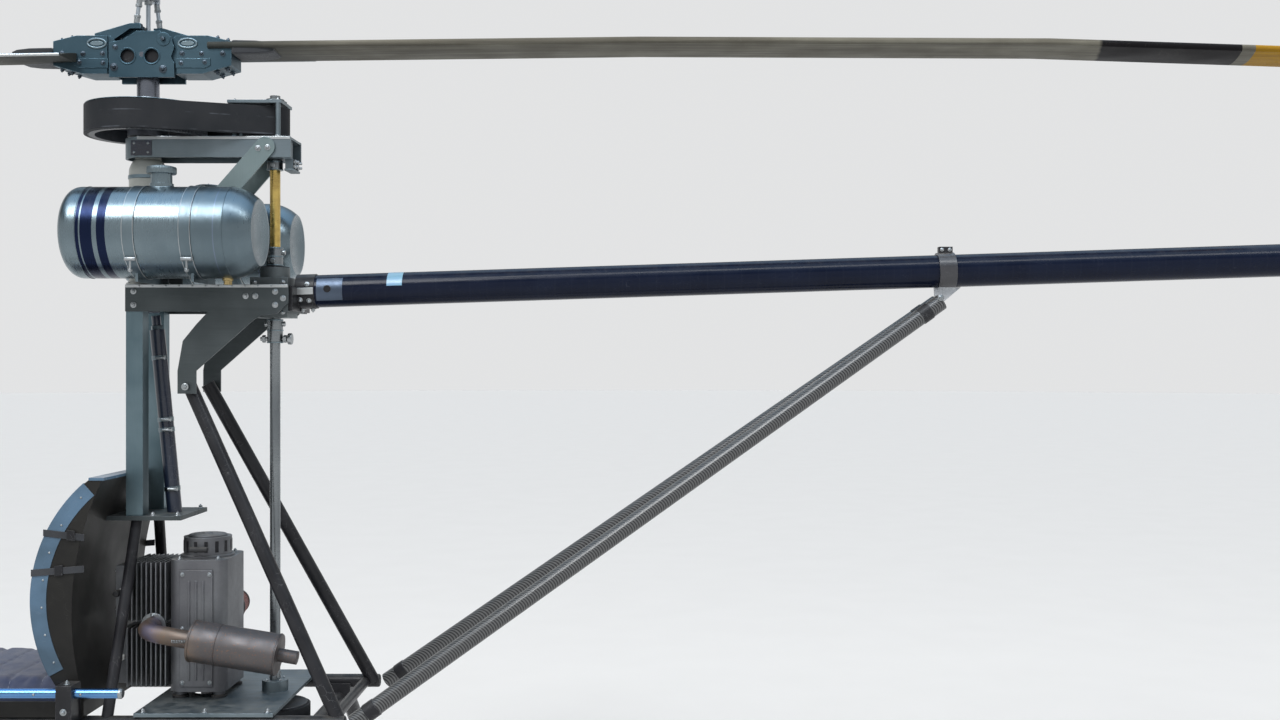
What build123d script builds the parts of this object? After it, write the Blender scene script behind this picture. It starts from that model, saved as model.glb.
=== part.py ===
"""Ultralight helicopter on skids, with an open frame and one seat.

Millimetres. X points aft, Y to starboard, Z up, and the origin lies on the ground
under the centre of the bounding box. Pieces are drawn from the mast axis, with the
ground at Z = 0, and shifted by MAST_X when they are written.
"""
from build123d import *
import os
from math import atan2, cos, degrees, hypot, pi, radians, sin, tan

# Clearances
RUNNING_FIT = 0.05
BELT_GAP = 0.6
SEAT_GAP = 0.3
WORKING_GAP = 6.0

# Main rotor
ROTOR_RADIUS = 2743.0
HUB_Z = 2103.0
HUB_LENGTH = 150.0
HUB_LOW = 53.0
HUB_HUMP = 54.0
HUB_PLATE = 8.0
HUB_WIDTH = 86.0
HUB_BLOCK = 80.0
HUB_BLOCK_HEIGHT = 60.0
HUB_HOLE_RADIUS = 16.0
HUB_HOLE_SPACING = 56.0
HUB_HOLE_MID = (-5.0, -4.0)
TEETER_PIN_RADIUS = 6.0
BLADE_CHORD = 175.0
BLADE_THICKNESS = 21.0
BLADE_AXIS_SHARE = 0.27
STABILIZER_AXIS_SHARE = 0.4
TAIL_AXIS_SHARE = 0.3
SECTION_CREST = 0.3
SECTION_TAIL = 0.05
SECTION_NOSE_BACK = 0.5
SECTION_NOSE_RISE = 0.72
BLADE_ROOT = 152.0
BLADE_STATIONS = (0.0, 0.386, 0.752, 1.0)
AFT_HEIGHTS = (21.0, 33.0, 29.0, 8.0)
AFT_PITCH = 0.5
FRONT_HEIGHTS = (-2.0, -20.0, -48.0, -76.0)
FRONT_PITCH = 8.0
GRIP_START = 62.0
GRIP_END = 206.0
GRIP_HEIGHT = 88.0
GRIP_WIDTH = 78.0
GRIP_TIP_HEIGHT = 38.0
HORN_ROOT_X = 112.0
HORN_FOOT_X = 18.0
HORN_Y = 26.0
HORN_WIDTH = 16.0
HORN_RISE = 74.0
HORN_DEPTH = 12.0
SHAFT_RADIUS = 25.4
SHAFT_BORE = 16.0
SHAFT_HEAD = 34.0
SPIDER_RISE = 150.0
SPIDER_RADIUS = 24.0
SPIDER_ARM = 40.0
SPIDER_ARM_WIDTH = 28.0
SPIDER_ARM_DEPTH = 14.0
CONTROL_STEM_RADIUS = 5.0
LINK_HEAD_X = 9.0
LINK_RADIUS = 4.5

# Belt drive on top of the mast
BELT_PITCH = 8.0
BIG_TEETH = 105
SMALL_TEETH = 21
BELT_CENTRES = 297.0
BELT_WIDTH = 68.0
BELT_THICKNESS = 8.0
BELT_INSET = 1.0
BELT_RISE = 6.0
TOOTH_DEPTH = 3.0
TOOTH_ROOT = 0.38
TOOTH_TIP = 0.2
TIP_DROP = 1.4
SPROCKET_HUB_RADIUS = 46.0
SPROCKET_HUB_RISE = 14.0
SPROCKET_WEB = 8.0
SPROCKET_RIM = 12.0
SPROCKET_HOLES = 6
SPROCKET_HOLE_SHARE = 0.34
DRIVE_RADIUS = 12.0
DRIVE_COLLAR_RADIUS = 18.0
# Height over the mid beam, length
DRIVE_COLLARS = ((272.0, 22.0), (48.0, 44.0), (-132.0, 56.0))
DRIVE_HEAD = 17.0

# Mast frame
POST_SIZE = 38.0
POST_Y = 70.0
POST_FOOT_Z = 1042.0
POST_WALL = 3.0
FOOT_PLATE_AFT = 108.0
FOOT_PLATE_THICKNESS = 10.0
FOOT_PLATE_MARGIN = 6.0
PLATE_THICKNESS = 5.0
MID_BEAM_TOP = 1568.0
MID_BEAM_DEPTH = 61.0
BASE_PLATE = 8.0
BASE_PLATE_SHORT = 71.0
MID_BEAM_OVER = 55.0
BOOM_PLATE_DEPTH = 14.0
BOOM_PLATE_THICKNESS = 12.0
TOP_BEAM_RISE = 343.0
TOP_BEAM_DEPTH = 47.0
TOP_BEAM_OVER = 49.0
TOP_BEAM_HALF = 50.0
TOP_BEAM_WALL = 5.0
BEARING_BOSS_RADIUS = 40.0
HOUSING_RADIUS = 43.0
HOUSING_BORE = 32.0
HOUSING_NECK = 29.0
HOUSING_SHOULDER = 32.0
HOUSING_BASE = 49.0
HOUSING_BEARING = 34.0
FLANGE_THICKNESS = 8.0
DIAGONAL_WIDTH = 45.0
DIAGONAL_FOOT_X = 46.0
DIAGONAL_FOOT_RISE = 44.0
DIAGONAL_HEAD_SHORT = 9.0
DIAGONAL_HEAD_DROP = 23.0
DIAGONAL_EAR = 36.0
DIAGONAL_EAR_RISE = 20.0
TOP_PLATE_REACH = 98.0
TOP_PLATE_OVER = 27.0
TOP_PLATE_HALF = 49.0
TOP_PLATE_THICKNESS = 7.0
TOP_PLATE_GAP = 5.0
STANDOFF_RADIUS = 6.0
# Place aft of the drive shaft, half distance apart
STANDOFFS = ((18.0, 43.0), (-86.0, 28.0))
GEARBOX_HALF = 46.0
GEARBOX_DROP = 12.0
GEARBOX_RISE = 20.0
GEARBOX_NOSE_RADIUS = 34.0
GEARBOX_NOSE_RISE = 24.0
CONTROL_TUBE_RADIUS = 17.0
CONTROL_ROD_RADIUS = 10.0
CONTROL_FOOT_X = 62.0
CONTROL_HEAD_X = 21.0
CONTROL_HEAD_DROP = 40.0

# Tanks
TANK_RADIUS = 101.5
TANK_Y = 165.0
TANK_RISE = 111.0
TANK_FRONT = -123.0
TANK_DISH = 15.0
TANK_DISH_RADIUS = 82.0
TANK_KNUCKLE = 28.0
TANK_AFT = 308.0
TANK_SHOULDER = 56.0
TANK_END_RADIUS = 74.0
TANK_RIM = 4.0
TANK_RECESS = 12.0
CAP_X = 89.0
CAP_RADIUS = 31.0
CAP_FLARE = 26.0
CAP_NECK = 23.0
CAP_HEIGHT = 44.0
CAP_LID = 15.0
CAP_BASE = 7.0
STRAP_THICKNESS = 2.0
STRAP_WIDTH = 24.0
SADDLE_X = (50.0, 172.0)
SADDLE_THICKNESS = 6.0
SADDLE_HEIGHT = 46.0
SADDLE_INNER = 58.0
SADDLE_OUTER = 210.0

# Lower frame
RAIL_RADIUS = 16.0
RAIL_Z = 600.0
RAIL_Y = 200.0
RAIL_OVER = 95.0
RAIL_BEND_X = -640.0
RAIL_NOSE_X = -1150.0
RAIL_NOSE_Y = 120.0
RAIL_NOSE_Z = 400.0
LOWER_LEG_RADIUS = 12.5
LEG_FOOT_X = -20.0
REAR_LEG_RADIUS = 16.0
BRACE_FOOT_X = 112.0
BRACE_DROP = 232.0
BRACE_PIN_RADIUS = 6.0
BRACE_PIN_REACH = 14.0
BRACE_FRONT = 12.0
BRACE_AFT = 30.0
BRACE_TOE = 16.0
BRACE_ANKLE = 36.0
BRACE_KNEE = 104.0
BRACE_FRONT_X = 170.0
BRACE_SHORT = 25.0
BRACE_CORNER = 10.0
BEAM_HEEL = 26.0
BEAM_HEEL_RISE = 20.0
LEG_HEAD_X = 6.0
LEG_HEAD_RISE = 4.0
LEG_END = 10.0
LEG_END_IN = 6.0
LEG_PIN_X = 8.0
CROSS_RADIUS = 12.5
CROSS_X = (-1110.0, -700.0, -150.0)
CROSS_AFT_SHORT = 30.0
RAIL_BEND = 200.0

# Landing gear
SKID_RADIUS = 22.0
SKID_Y = 750.0
SKID_AFT = 780.0
SKID_BEND_X = -1120.0
SKID_TIP_X = -1420.0
SKID_TIP_RISE = 190.0
GEAR_RADIUS = 19.0
GEAR_FRONT_X = -760.0
GEAR_AFT_OVER = 108.0
LUG_X = 120.0
LUG_THICKNESS = 14.0
LUG_BORE = 8.0
LUG_RADIUS = 20.0
LUG_RISE = 34.0
LUG_FOOT = 2.6
GEAR_BEND = 130.0
GEAR_DROP = 8.0
GEAR_KNEE_IN = 60.0
GEAR_KNEE_Z = 210.0
GEAR_SHOULDER = 70.0
RAIL_CLAMP_HALF = 30.0
RAIL_CLAMP_WIDTH = 24.0
SKID_CLAMP_HALF = 45.0
SKID_CLAMP_WIDTH = 27.0
SKID_CLAMP_RISE = 26.0
SKID_BEND = 320.0

# Cockpit
SEAT_HALF = 215.0
SEAT_WALL = 8.0
SEAT_TOP_Z = 1137.0
SEAT_LOW_Z = 650.0
SEAT_MID_Z = 900.0
SEAT_TOP_X = -50.0
SEAT_WING_X = -178.0
SEAT_HIP_X = -100.0
SEAT_BACK_X = -62.0
SEAT_BACK_MID_X = -88.0
SEAT_BACK_TOP_X = -22.0
SEAT_SHELL = 14.0
SEAT_OVER = 40.0
PAN_FRONT_X = -560.0
PAN_AFT_X = -64.0
PAN_THICKNESS = 10.0
PAN_LIP = 34.0
CUSHION_THICKNESS = 60.0
CUSHION_CORNER = 30.0
CUSHION_SETBACK = 24.0
BACK_PAD = 26.0
BACK_PAD_LOW = 704.0
BACK_PAD_DROP = 60.0
LEVER_RADIUS = 11.0
LEVER_WALL = 2.0
LEVER_Y = 246.0
LEVER_Z = 676.0
LEVER_AFT = 26.0
LEVER_FRONT = -560.0
BRACKET_AFT = -70.0
BRACKET_LENGTH = 34.0
BRACKET_WALL = 9.0
STICK_RADIUS = 11.0
STICK_KNEE_RISE = 180.0
STICK_TOP_RISE = 350.0
STICK_LEAN = 60.0
STICK_BEND = 90.0
STICK_GRIP_RADIUS = 18.0
STICK_GRIP_LENGTH = 115.0
LEVER_GRIP = 7.0
LEVER_GRIP_LENGTH = 130.0
PEDAL_X = -1030.0
PEDAL_BAR_RADIUS = 10.0
PEDAL_ARM_RADIUS = 8.0
PEDAL_Y = 62.0
PEDAL_HALF = 40.0
PEDAL_LEAN = 40.0
PEDAL_RISE = 130.0
PEDAL_DEPTH = 26.0
PEDAL_HEIGHT = 20.0
PEDAL_SET = 14.0
POD_RISE = 480.0
POD_FRONT = -1050.0
POD_DEPTH = 100.0
POD_HALF = 115.0
POD_HEIGHT = 142.0
POD_DROP = 12.0
POD_CORNER = 26.0
POD_POST_RADIUS = 14.0

# Engine
ENGINE_PLATE_THICKNESS = 8.0
ENGINE_PLATE_MARGIN = 14.0
ENGINE_PLATE_FRONT = 44.0
ENGINE_PLATE_OVER = 52.0
CRANK_HOLE_RADIUS = 34.0
LOWER_BEARING_RADIUS = 30.0
LOWER_BEARING_HEIGHT = 34.0
CRANK_X = 140.0
CRANK_RADIUS = 16.0
ENGINE_FOOT_RADIUS = 13.0
ENGINE_FOOT_HEIGHT = 16.0
ENGINE_FOOT_X = 44.0
ENGINE_FOOT_Y = 60.0
STARTER_RADIUS = 54.0
STARTER_HEIGHT = 46.0
CASE_CORNER = 26.0
CASE_HEIGHT = 300.0
CASE_WIDTH = 170.0
CASE_LENGTH = 130.0
CYLINDER_RISE = 76.0
CYLINDER_PITCH = 150.0
CYLINDER_RADIUS = 40.0
FIN_COUNT = 9
FIN_PITCH = 11.0
FIN_THICKNESS = 3.0
FIN_WIDTH = 150.0
FIN_HEIGHT = 134.0
FIN_SETBACK = 0.7
HEAD_LENGTH = 26.0
HEAD_INSET = 8.0
PRIMARY_DROP = 68.0
PRIMARY_BELT_WIDTH = 48.0
PRIMARY_RIM = 4.0
PRIMARY_THICKNESS = 6.0
THROAT_RADIUS = 24.0
THROAT_LENGTH = 60.0
FLOAT_HALF = 22.0
FLOAT_START = 12.0
FLOAT_END = 48.0
FLOAT_DROP = 44.0
FLOAT_RISE = 30.0
FILTER_RADIUS = 40.0
FILTER_TIP_RADIUS = 28.0
FILTER_LENGTH = 90.0
EXHAUST_PORT_X = 40.0
EXHAUST_BEND_X = 150.0
EXHAUST_OUT = 62.0
EXHAUST_RISE = 150.0
EXHAUST_FALL = 20.0
EXHAUST_RADIUS = 20.0
EXHAUST_BEND = 38.0
MUFFLER_RADIUS = 46.0
MUFFLER_LENGTH = 195.0
MUFFLER_FALL = 32.0
TAILPIPE_RADIUS = 15.0
TAILPIPE_LENGTH = 41.0
TAILPIPE_FALL = 7.0
CRANK_PULLEY_RADIUS = 46.0
SHAFT_PULLEY_RADIUS = 74.0

# Tail
BOOM_RADIUS = 38.1
BOOM_DROP = 12.0
BOOM_TILT = 1.84
COLLAR_RADIUS = 40.5
COLLAR_LENGTH = 44.0
COLLAR_SPIGOT = 8.0
STRUT_HEAD_X = 1865.0
STRUT_RADIUS = 19.0
STRUT_FOOT_REACH = 22.0
STRUT_TAB_FRONT = 26.0
STRUT_TAB_AFT = 36.0
STRUT_TAB_TIP = 24.0
STRUT_TAB_TOE = 8.0
STRUT_BAND = 5.0
STRUT_BAND_HALF = 20.0
STRUT_HEAD_BACK = 14.0
STRUT_TAB_DROP = 32.0
STRUT_TAB_HALF = 4.0
TAIL_ROTOR_X = 3320.0
TAIL_ROTOR_Y = 118.0
TAIL_ROTOR_RADIUS = 500.0
TAIL_CHORD = 80.0
TAIL_BLADE_THICKNESS = 11.0
TAIL_PITCH = 8.0
TAIL_SHAFT_RADIUS = 12.5
TAIL_BOX_RADIUS = 52.0
TAIL_BOX_LENGTH = 92.0
TAIL_BOX_NECK = 44.0
TAIL_BOX_SLEEVE = 6.0
TAIL_HUB_HALF = 22.0
TAIL_HUB_DEPTH = 16.0
TAIL_HUB_REACH = 62.0
TAIL_CAP_RADIUS = 20.0
TAIL_CAP_LENGTH = 14.0
FIN_PLATE = 16.0
FIN_REACH = 290.0
FIN_UP = 360.0
FIN_DOWN = 420.0
FIN_ROOT_FRONT = 60.0
FIN_ROOT_HALF = 60.0
FIN_TOP_FRONT = 120.0
FIN_WAIST_X = 150.0
FIN_WAIST_RISE = 20.0
FIN_FOOT_FRONT = 90.0
FIN_FOOT_AFT = 210.0
GUARD_RADIUS = 8.0
GUARD_START_X = 30.0
GUARD_START_DROP = 120.0
GUARD_BEND_X = 120.0
GUARD_END_X = 240.0
GUARD_DROP = 520.0
GUARD_BEND = 60.0
STABILIZER_X = 2900.0
STABILIZER_CHORD = 190.0
STABILIZER_SPAN = 460.0
STABILIZER_THICKNESS = 20.0

# Derived places
MID_BEAM_Z = MID_BEAM_TOP - MID_BEAM_DEPTH
MID_BEAM_AFT = BELT_CENTRES + MID_BEAM_OVER
BASE_PLATE_AFT = BELT_CENTRES - BASE_PLATE_SHORT
TOP_BEAM_AFT = BELT_CENTRES + TOP_BEAM_OVER
DIAGONAL_HEAD_X = BELT_CENTRES - DIAGONAL_HEAD_SHORT
BRACE_AFT_X = BELT_CENTRES - BRACE_SHORT
BOOM_START_X = MID_BEAM_AFT
ENGINE_PLATE_AFT = BELT_CENTRES + ENGINE_PLATE_OVER
GEAR_AFT_X = BELT_CENTRES + GEAR_AFT_OVER
RAIL_AFT = GEAR_AFT_X + RAIL_OVER
TOP_BEAM_TOP = MID_BEAM_TOP + TOP_BEAM_RISE
TOP_BEAM_Z = TOP_BEAM_TOP - TOP_BEAM_DEPTH
BELT_Z = TOP_BEAM_TOP + BELT_RISE
TANK_Z = MID_BEAM_TOP + TANK_RISE
DIAGONAL_FOOT_Z = MID_BEAM_TOP + DIAGONAL_FOOT_RISE
DIAGONAL_HEAD_Z = TOP_BEAM_TOP - DIAGONAL_HEAD_DROP
CONTROL_HEAD_Z = MID_BEAM_Z - CONTROL_HEAD_DROP
BRACE_FOOT_Z = MID_BEAM_TOP - BRACE_DROP
BOOM_START_Z = MID_BEAM_TOP - BOOM_DROP
ENGINE_PLATE_Z = RAIL_Z + RAIL_RADIUS
CASE_BOTTOM = ENGINE_PLATE_Z + ENGINE_PLATE_THICKNESS + ENGINE_FOOT_HEIGHT
CYLINDER_LOW_Z = CASE_BOTTOM + CYLINDER_RISE
PRIMARY_BELT_Z = ENGINE_PLATE_Z - PRIMARY_DROP
MAST_X = (ROTOR_RADIUS - TAIL_ROTOR_X - FIN_REACH) / 2
BIG_PITCH_RADIUS = BIG_TEETH * BELT_PITCH / (2 * pi)
SMALL_PITCH_RADIUS = SMALL_TEETH * BELT_PITCH / (2 * pi)
BIG_TIP_RADIUS = BIG_PITCH_RADIUS - TIP_DROP
SMALL_TIP_RADIUS = SMALL_PITCH_RADIUS - TIP_DROP
PLATE_Y = POST_Y + POST_SIZE / 2
BOOM_LENGTH = (TAIL_ROTOR_X - TAIL_BOX_RADIUS - BOOM_START_X) / cos(radians(BOOM_TILT))
SIDES = (-1, 1)


def boom_height(x: float) -> float:
    """Height of the boom's centre line at a distance aft of the mast."""
    return BOOM_START_Z + (x - BOOM_START_X) * tan(radians(BOOM_TILT))


TAIL_ROTOR_Z = boom_height(TAIL_ROTOR_X)


def plane_along(start, end) -> Plane:
    """A plane at start whose normal points at end."""
    return Plane(origin=start, z_dir=Vector(*end) - Vector(*start))


def rod(start, end, radius: float, bore: float = 0.0) -> Part:
    """A round bar or tube between two points."""
    section = Circle(radius)
    if bore:
        section -= Circle(bore)
    length = (Vector(*end) - Vector(*start)).length
    return extrude(plane_along(start, end) * section, amount=length)


def bent_rod(points, bend: float, radius: float) -> Part:
    """A round bar through the points, with every corner bent to one radius."""
    path = FilletPolyline(*points, radius=bend)
    section = Plane(origin=path @ 0, z_dir=path % 0) * Circle(radius)
    return sweep(section, path=path)


def box(x_span, y_span, z_span) -> Part:
    """A block between the low and high values on each axis."""
    size = [high - low for low, high in (x_span, y_span, z_span)]
    centre = [(low + high) / 2 for low, high in (x_span, y_span, z_span)]
    return Pos(*centre) * Box(*size)


def side_plate(face: Sketch, y_low: float, y_high: float) -> Part:
    """A face drawn in X and Z, given thickness along Y."""
    plane = Plane(origin=(0, y_high, 0), x_dir=(1, 0, 0), z_dir=(0, -1, 0))
    return extrude(plane * face, amount=y_high - y_low)


def side_profile(points, y_low: float, y_high: float) -> Part:
    """A polygon in X and Z, given thickness along Y."""
    return side_plate(make_face(Polyline(*points, close=True)), y_low, y_high)


def upright(radius: float, x: float, y: float, z_low: float, z_high: float) -> Part:
    """A vertical cylinder."""
    return extrude(Pos(x, y, z_low) * Circle(radius), amount=z_high - z_low)


def across(radius: float, x: float, z: float, y_low: float, y_high: float) -> Part:
    """A cylinder along Y."""
    return rod((x, y_low, z), (x, y_high, z), radius)


# Main rotor

def airfoil(chord: float, thickness: float, axis_share: float) -> Sketch:
    """A blade section with its nose towards +X and its pitch axis at the origin."""
    nose = chord * axis_share
    tail = nose - chord
    crest = nose - SECTION_CREST * chord
    half = thickness / 2
    edge = thickness * SECTION_TAIL
    brow, rise = nose - half * SECTION_NOSE_BACK, half * SECTION_NOSE_RISE
    top = ThreePointArc((brow, rise), (crest, half), (tail, edge))
    tail_edge = Line((tail, edge), (tail, -edge))
    low = ThreePointArc((tail, -edge), (crest, -half), (brow, -rise))
    front = ThreePointArc((brow, -rise), (nose, 0), (brow, rise))
    return make_face([top, tail_edge, low, front])


def blade_station(x: float, height: float, pitch: float) -> Sketch:
    """The main blade's section on the aft side, nose towards port and pitched up."""
    plane = Plane(origin=(x, 0, HUB_Z + height), x_dir=(0, -1, 0), z_dir=(1, 0, 0))
    return plane * Rot(0, 0, -pitch) * airfoil(BLADE_CHORD, BLADE_THICKNESS, BLADE_AXIS_SHARE)


def main_blade(heights, pitch: float) -> Part:
    """A blade on the aft side, through its heights over the hub from root to tip."""
    span = ROTOR_RADIUS - BLADE_ROOT
    places = [BLADE_ROOT + share * span for share in BLADE_STATIONS]
    return loft([blade_station(x, height, pitch) for x, height in zip(places, heights)], ruled=True)


def blade_grip(blade: Part) -> Part:
    """The aft blade grip: a spindle block, sloped towards its tip, that holds the blade's root."""
    half, tip = GRIP_HEIGHT / 2, GRIP_TIP_HEIGHT / 2
    corner = half * 0.3
    outline = Polyline(
        (GRIP_START, corner - half), (GRIP_START + corner, -half), (BLADE_ROOT - corner, -half),
        (GRIP_END, tip - half), (GRIP_END, half - corner), (BLADE_ROOT, half), (GRIP_START + corner, half),
        (GRIP_START, half - corner), close=True)
    body = Pos(0, 0, HUB_Z) * side_plate(make_face(outline), -GRIP_WIDTH / 2, GRIP_WIDTH / 2)
    slot = box((0, HUB_LENGTH / 2 + WORKING_GAP),
               (HUB_WIDTH / 2 - HUB_PLATE - SEAT_GAP, HUB_WIDTH), (HUB_Z - half, HUB_Z + half))
    body -= slot + mirror(slot, about=Plane.XZ)
    return body + pitch_horn() - blade


def hub_plate() -> Part:
    """The starboard side plate of the hub: waisted aft, humped on top, with two lightening holes."""
    half, low, hump = HUB_LENGTH / 2, HUB_LOW, HUB_HUMP
    outline = make_face(Polyline(
        (-half, -low), (half, -low), (half, -low * 0.4), (half * 0.9, -low * 0.1), (half, low * 0.3),
        (half * 0.9, hump * 0.75), (half * 0.55, hump), (-half * 0.16, hump), (-half * 0.6, hump * 0.62),
        (-half, hump * 0.5), close=True))
    middle, level = HUB_HOLE_MID
    for x in (middle - HUB_HOLE_SPACING / 2, middle + HUB_HOLE_SPACING / 2):
        outline -= Pos(x, level) * Circle(HUB_HOLE_RADIUS)
    return Pos(0, 0, HUB_Z) * side_plate(Sketch() + outline, HUB_WIDTH / 2 - HUB_PLATE, HUB_WIDTH / 2)


def teeter_pin() -> Part:
    """The pin that the hub's plates hang on, flush with them."""
    return across(TEETER_PIN_RADIUS, 0, HUB_Z, -HUB_WIDTH / 2, HUB_WIDTH / 2)


def hub_block() -> Part:
    """The block between the hub's plates."""
    half = HUB_WIDTH / 2 - HUB_PLATE
    return box((-HUB_BLOCK / 2, HUB_BLOCK / 2), (-half, half),
               (HUB_Z - HUB_BLOCK_HEIGHT / 2, HUB_Z + HUB_BLOCK_HEIGHT / 2))


def rotor_shaft() -> Part:
    """The hollow rotor shaft, from the mid beam to the hub, with the hub's block and pin."""
    outer = upright(SHAFT_RADIUS, 0, 0, MID_BEAM_Z, HUB_Z + SHAFT_HEAD)
    bore = upright(SHAFT_BORE, 0, 0, MID_BEAM_Z - 1, HUB_Z + SHAFT_HEAD + 1)
    return outer + hub_block() + teeter_pin() - bore


def toothed_face(teeth: int, tip_radius: float) -> Sketch:
    """A toothed disc: four corners for each tooth."""
    root_radius = tip_radius - TOOTH_DEPTH
    step = 2 * pi / teeth
    corners = ((-TOOTH_ROOT, root_radius), (-TOOTH_TIP, tip_radius), (TOOTH_TIP, tip_radius),
               (TOOTH_ROOT, root_radius))
    points = []
    for index in range(teeth):
        for share, radius in corners:
            angle = (index + share) * step
            points.append((radius * cos(angle), radius * sin(angle)))
    return make_face(Polyline(*points, close=True))


def big_sprocket() -> Part:
    """The large belt sprocket on the rotor shaft: rim, web with holes, and hub."""
    rim_radius = BIG_TIP_RADIUS - TOOTH_DEPTH - SPROCKET_RIM
    wheel = extrude(Pos(0, 0, BELT_Z) * toothed_face(BIG_TEETH, BIG_TIP_RADIUS), amount=BELT_WIDTH)
    hollow = Circle(rim_radius) - Circle(SPROCKET_HUB_RADIUS)
    depth = (BELT_WIDTH - SPROCKET_WEB) / 2
    wheel -= extrude(Pos(0, 0, BELT_Z) * hollow, amount=depth)
    wheel -= extrude(Pos(0, 0, BELT_Z + BELT_WIDTH - depth) * hollow, amount=depth)
    mid_radius = (rim_radius + SPROCKET_HUB_RADIUS) / 2
    hole_radius = (rim_radius - SPROCKET_HUB_RADIUS) * SPROCKET_HOLE_SHARE
    for spot in PolarLocations(mid_radius, SPROCKET_HOLES):
        wheel -= Pos(0, 0, BELT_Z) * spot * Cylinder(hole_radius, 2 * BELT_WIDTH)
    top = BELT_Z + BELT_WIDTH
    wheel += upright(SPROCKET_HUB_RADIUS, 0, 0, top, top + SPROCKET_HUB_RISE)
    return wheel - upright(SHAFT_RADIUS, 0, 0, BELT_Z - 1, top + SPROCKET_HUB_RISE + 1)


def small_sprocket() -> Part:
    """The small belt sprocket on top of the drive shaft."""
    wheel = extrude(Pos(0, 0, BELT_Z) * toothed_face(SMALL_TEETH, SMALL_TIP_RADIUS), amount=BELT_WIDTH)
    wheel = Pos(BELT_CENTRES, 0, 0) * wheel
    return wheel - upright(DRIVE_RADIUS, BELT_CENTRES, 0, BELT_Z - 1, BELT_Z + BELT_WIDTH + 1)


def belt_outline(big_radius: float, small_radius: float, centres: float) -> Sketch:
    """The stretched loop round two wheels, the small one aft."""
    lean = (big_radius - small_radius) / centres
    rise = (1 - lean ** 2) ** 0.5
    big_touch = (big_radius * lean, big_radius * rise)
    small_touch = (centres + small_radius * lean, small_radius * rise)
    lines = [
        ThreePointArc((big_touch[0], big_touch[1]), (-big_radius, 0), (big_touch[0], -big_touch[1])),
        Line((big_touch[0], -big_touch[1]), (small_touch[0], -small_touch[1])),
        ThreePointArc((small_touch[0], -small_touch[1]), (centres + small_radius, 0), small_touch),
        Line(small_touch, big_touch),
    ]
    return make_face(lines)


def main_belt() -> Part:
    """The toothed belt, as one smooth loop clear of the sprockets' teeth."""
    big, small = BIG_TIP_RADIUS + BELT_GAP, SMALL_TIP_RADIUS + BELT_GAP
    loop = belt_outline(big + BELT_THICKNESS, small + BELT_THICKNESS, BELT_CENTRES)
    loop -= belt_outline(big, small, BELT_CENTRES)
    return extrude(Pos(0, 0, BELT_Z + BELT_INSET) * loop, amount=BELT_WIDTH - 2 * BELT_INSET)


def control_spider() -> Part:
    """The pitch spider above the hub, on the stem that comes up through the shaft."""
    top = HUB_Z + SPIDER_RISE
    stem = upright(CONTROL_STEM_RADIUS, 0, 0, MID_BEAM_TOP, top)
    boss = upright(SPIDER_RADIUS, 0, 0, top - SPIDER_ARM_DEPTH, top + SPIDER_ARM_DEPTH / 2)
    half = SPIDER_ARM_WIDTH / 2
    return stem + boss + box((-half, half), (-SPIDER_ARM, SPIDER_ARM), (top - SPIDER_ARM_DEPTH, top))


def pitch_link() -> Part:
    """The starboard link from the spider's arm down to the grip's horn."""
    high = Vector(LINK_HEAD_X, HORN_Y, HUB_Z + SPIDER_RISE - SPIDER_ARM_DEPTH / 2)
    foot = HUB_Z + HORN_RISE
    way = high - Vector(HORN_FOOT_X, HORN_Y, foot)
    lean = LINK_RADIUS * abs(way.X) / way.length
    return rod((HORN_FOOT_X, HORN_Y, foot + lean + SEAT_GAP), high, LINK_RADIUS)


def pitch_horn() -> Part:
    """The starboard horn on the aft grip, which runs in over the hub to the link's foot."""
    top, root = HORN_RISE, GRIP_HEIGHT / 2
    near, far = HORN_FOOT_X + HORN_DEPTH, HORN_FOOT_X - HORN_DEPTH
    outline = ((HORN_ROOT_X, root - HORN_DEPTH), (HORN_ROOT_X, root + HORN_DEPTH / 2), (near, top), (far, top),
               (far, top - HORN_DEPTH), (near, top - HORN_DEPTH), (GRIP_START + HORN_DEPTH, root - HORN_DEPTH))
    return Pos(0, 0, HUB_Z) * side_profile(outline, HORN_Y - HORN_WIDTH / 2, HORN_Y + HORN_WIDTH / 2)


# Drive shaft

def drive_shaft() -> Part:
    """The vertical drive shaft with the collars of its joints."""
    low = PRIMARY_BELT_Z - DRIVE_HEAD
    shaft = upright(DRIVE_RADIUS, BELT_CENTRES, 0, low, top_plate_low() + TOP_PLATE_THICKNESS + DRIVE_HEAD)
    for z, height in DRIVE_COLLARS:
        shaft += upright(DRIVE_COLLAR_RADIUS, BELT_CENTRES, 0, MID_BEAM_TOP + z, MID_BEAM_TOP + z + height)
    return shaft


# Mast frame

def mast_post() -> Part:
    """The starboard square post."""
    half = POST_SIZE / 2
    post = box((-half, half), (POST_Y - half, POST_Y + half), (POST_FOOT_Z, MID_BEAM_TOP))
    inner = half - POST_WALL
    return post - box((-inner, inner), (POST_Y - inner, POST_Y + inner), (POST_FOOT_Z - 1, MID_BEAM_TOP + 1))


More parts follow.
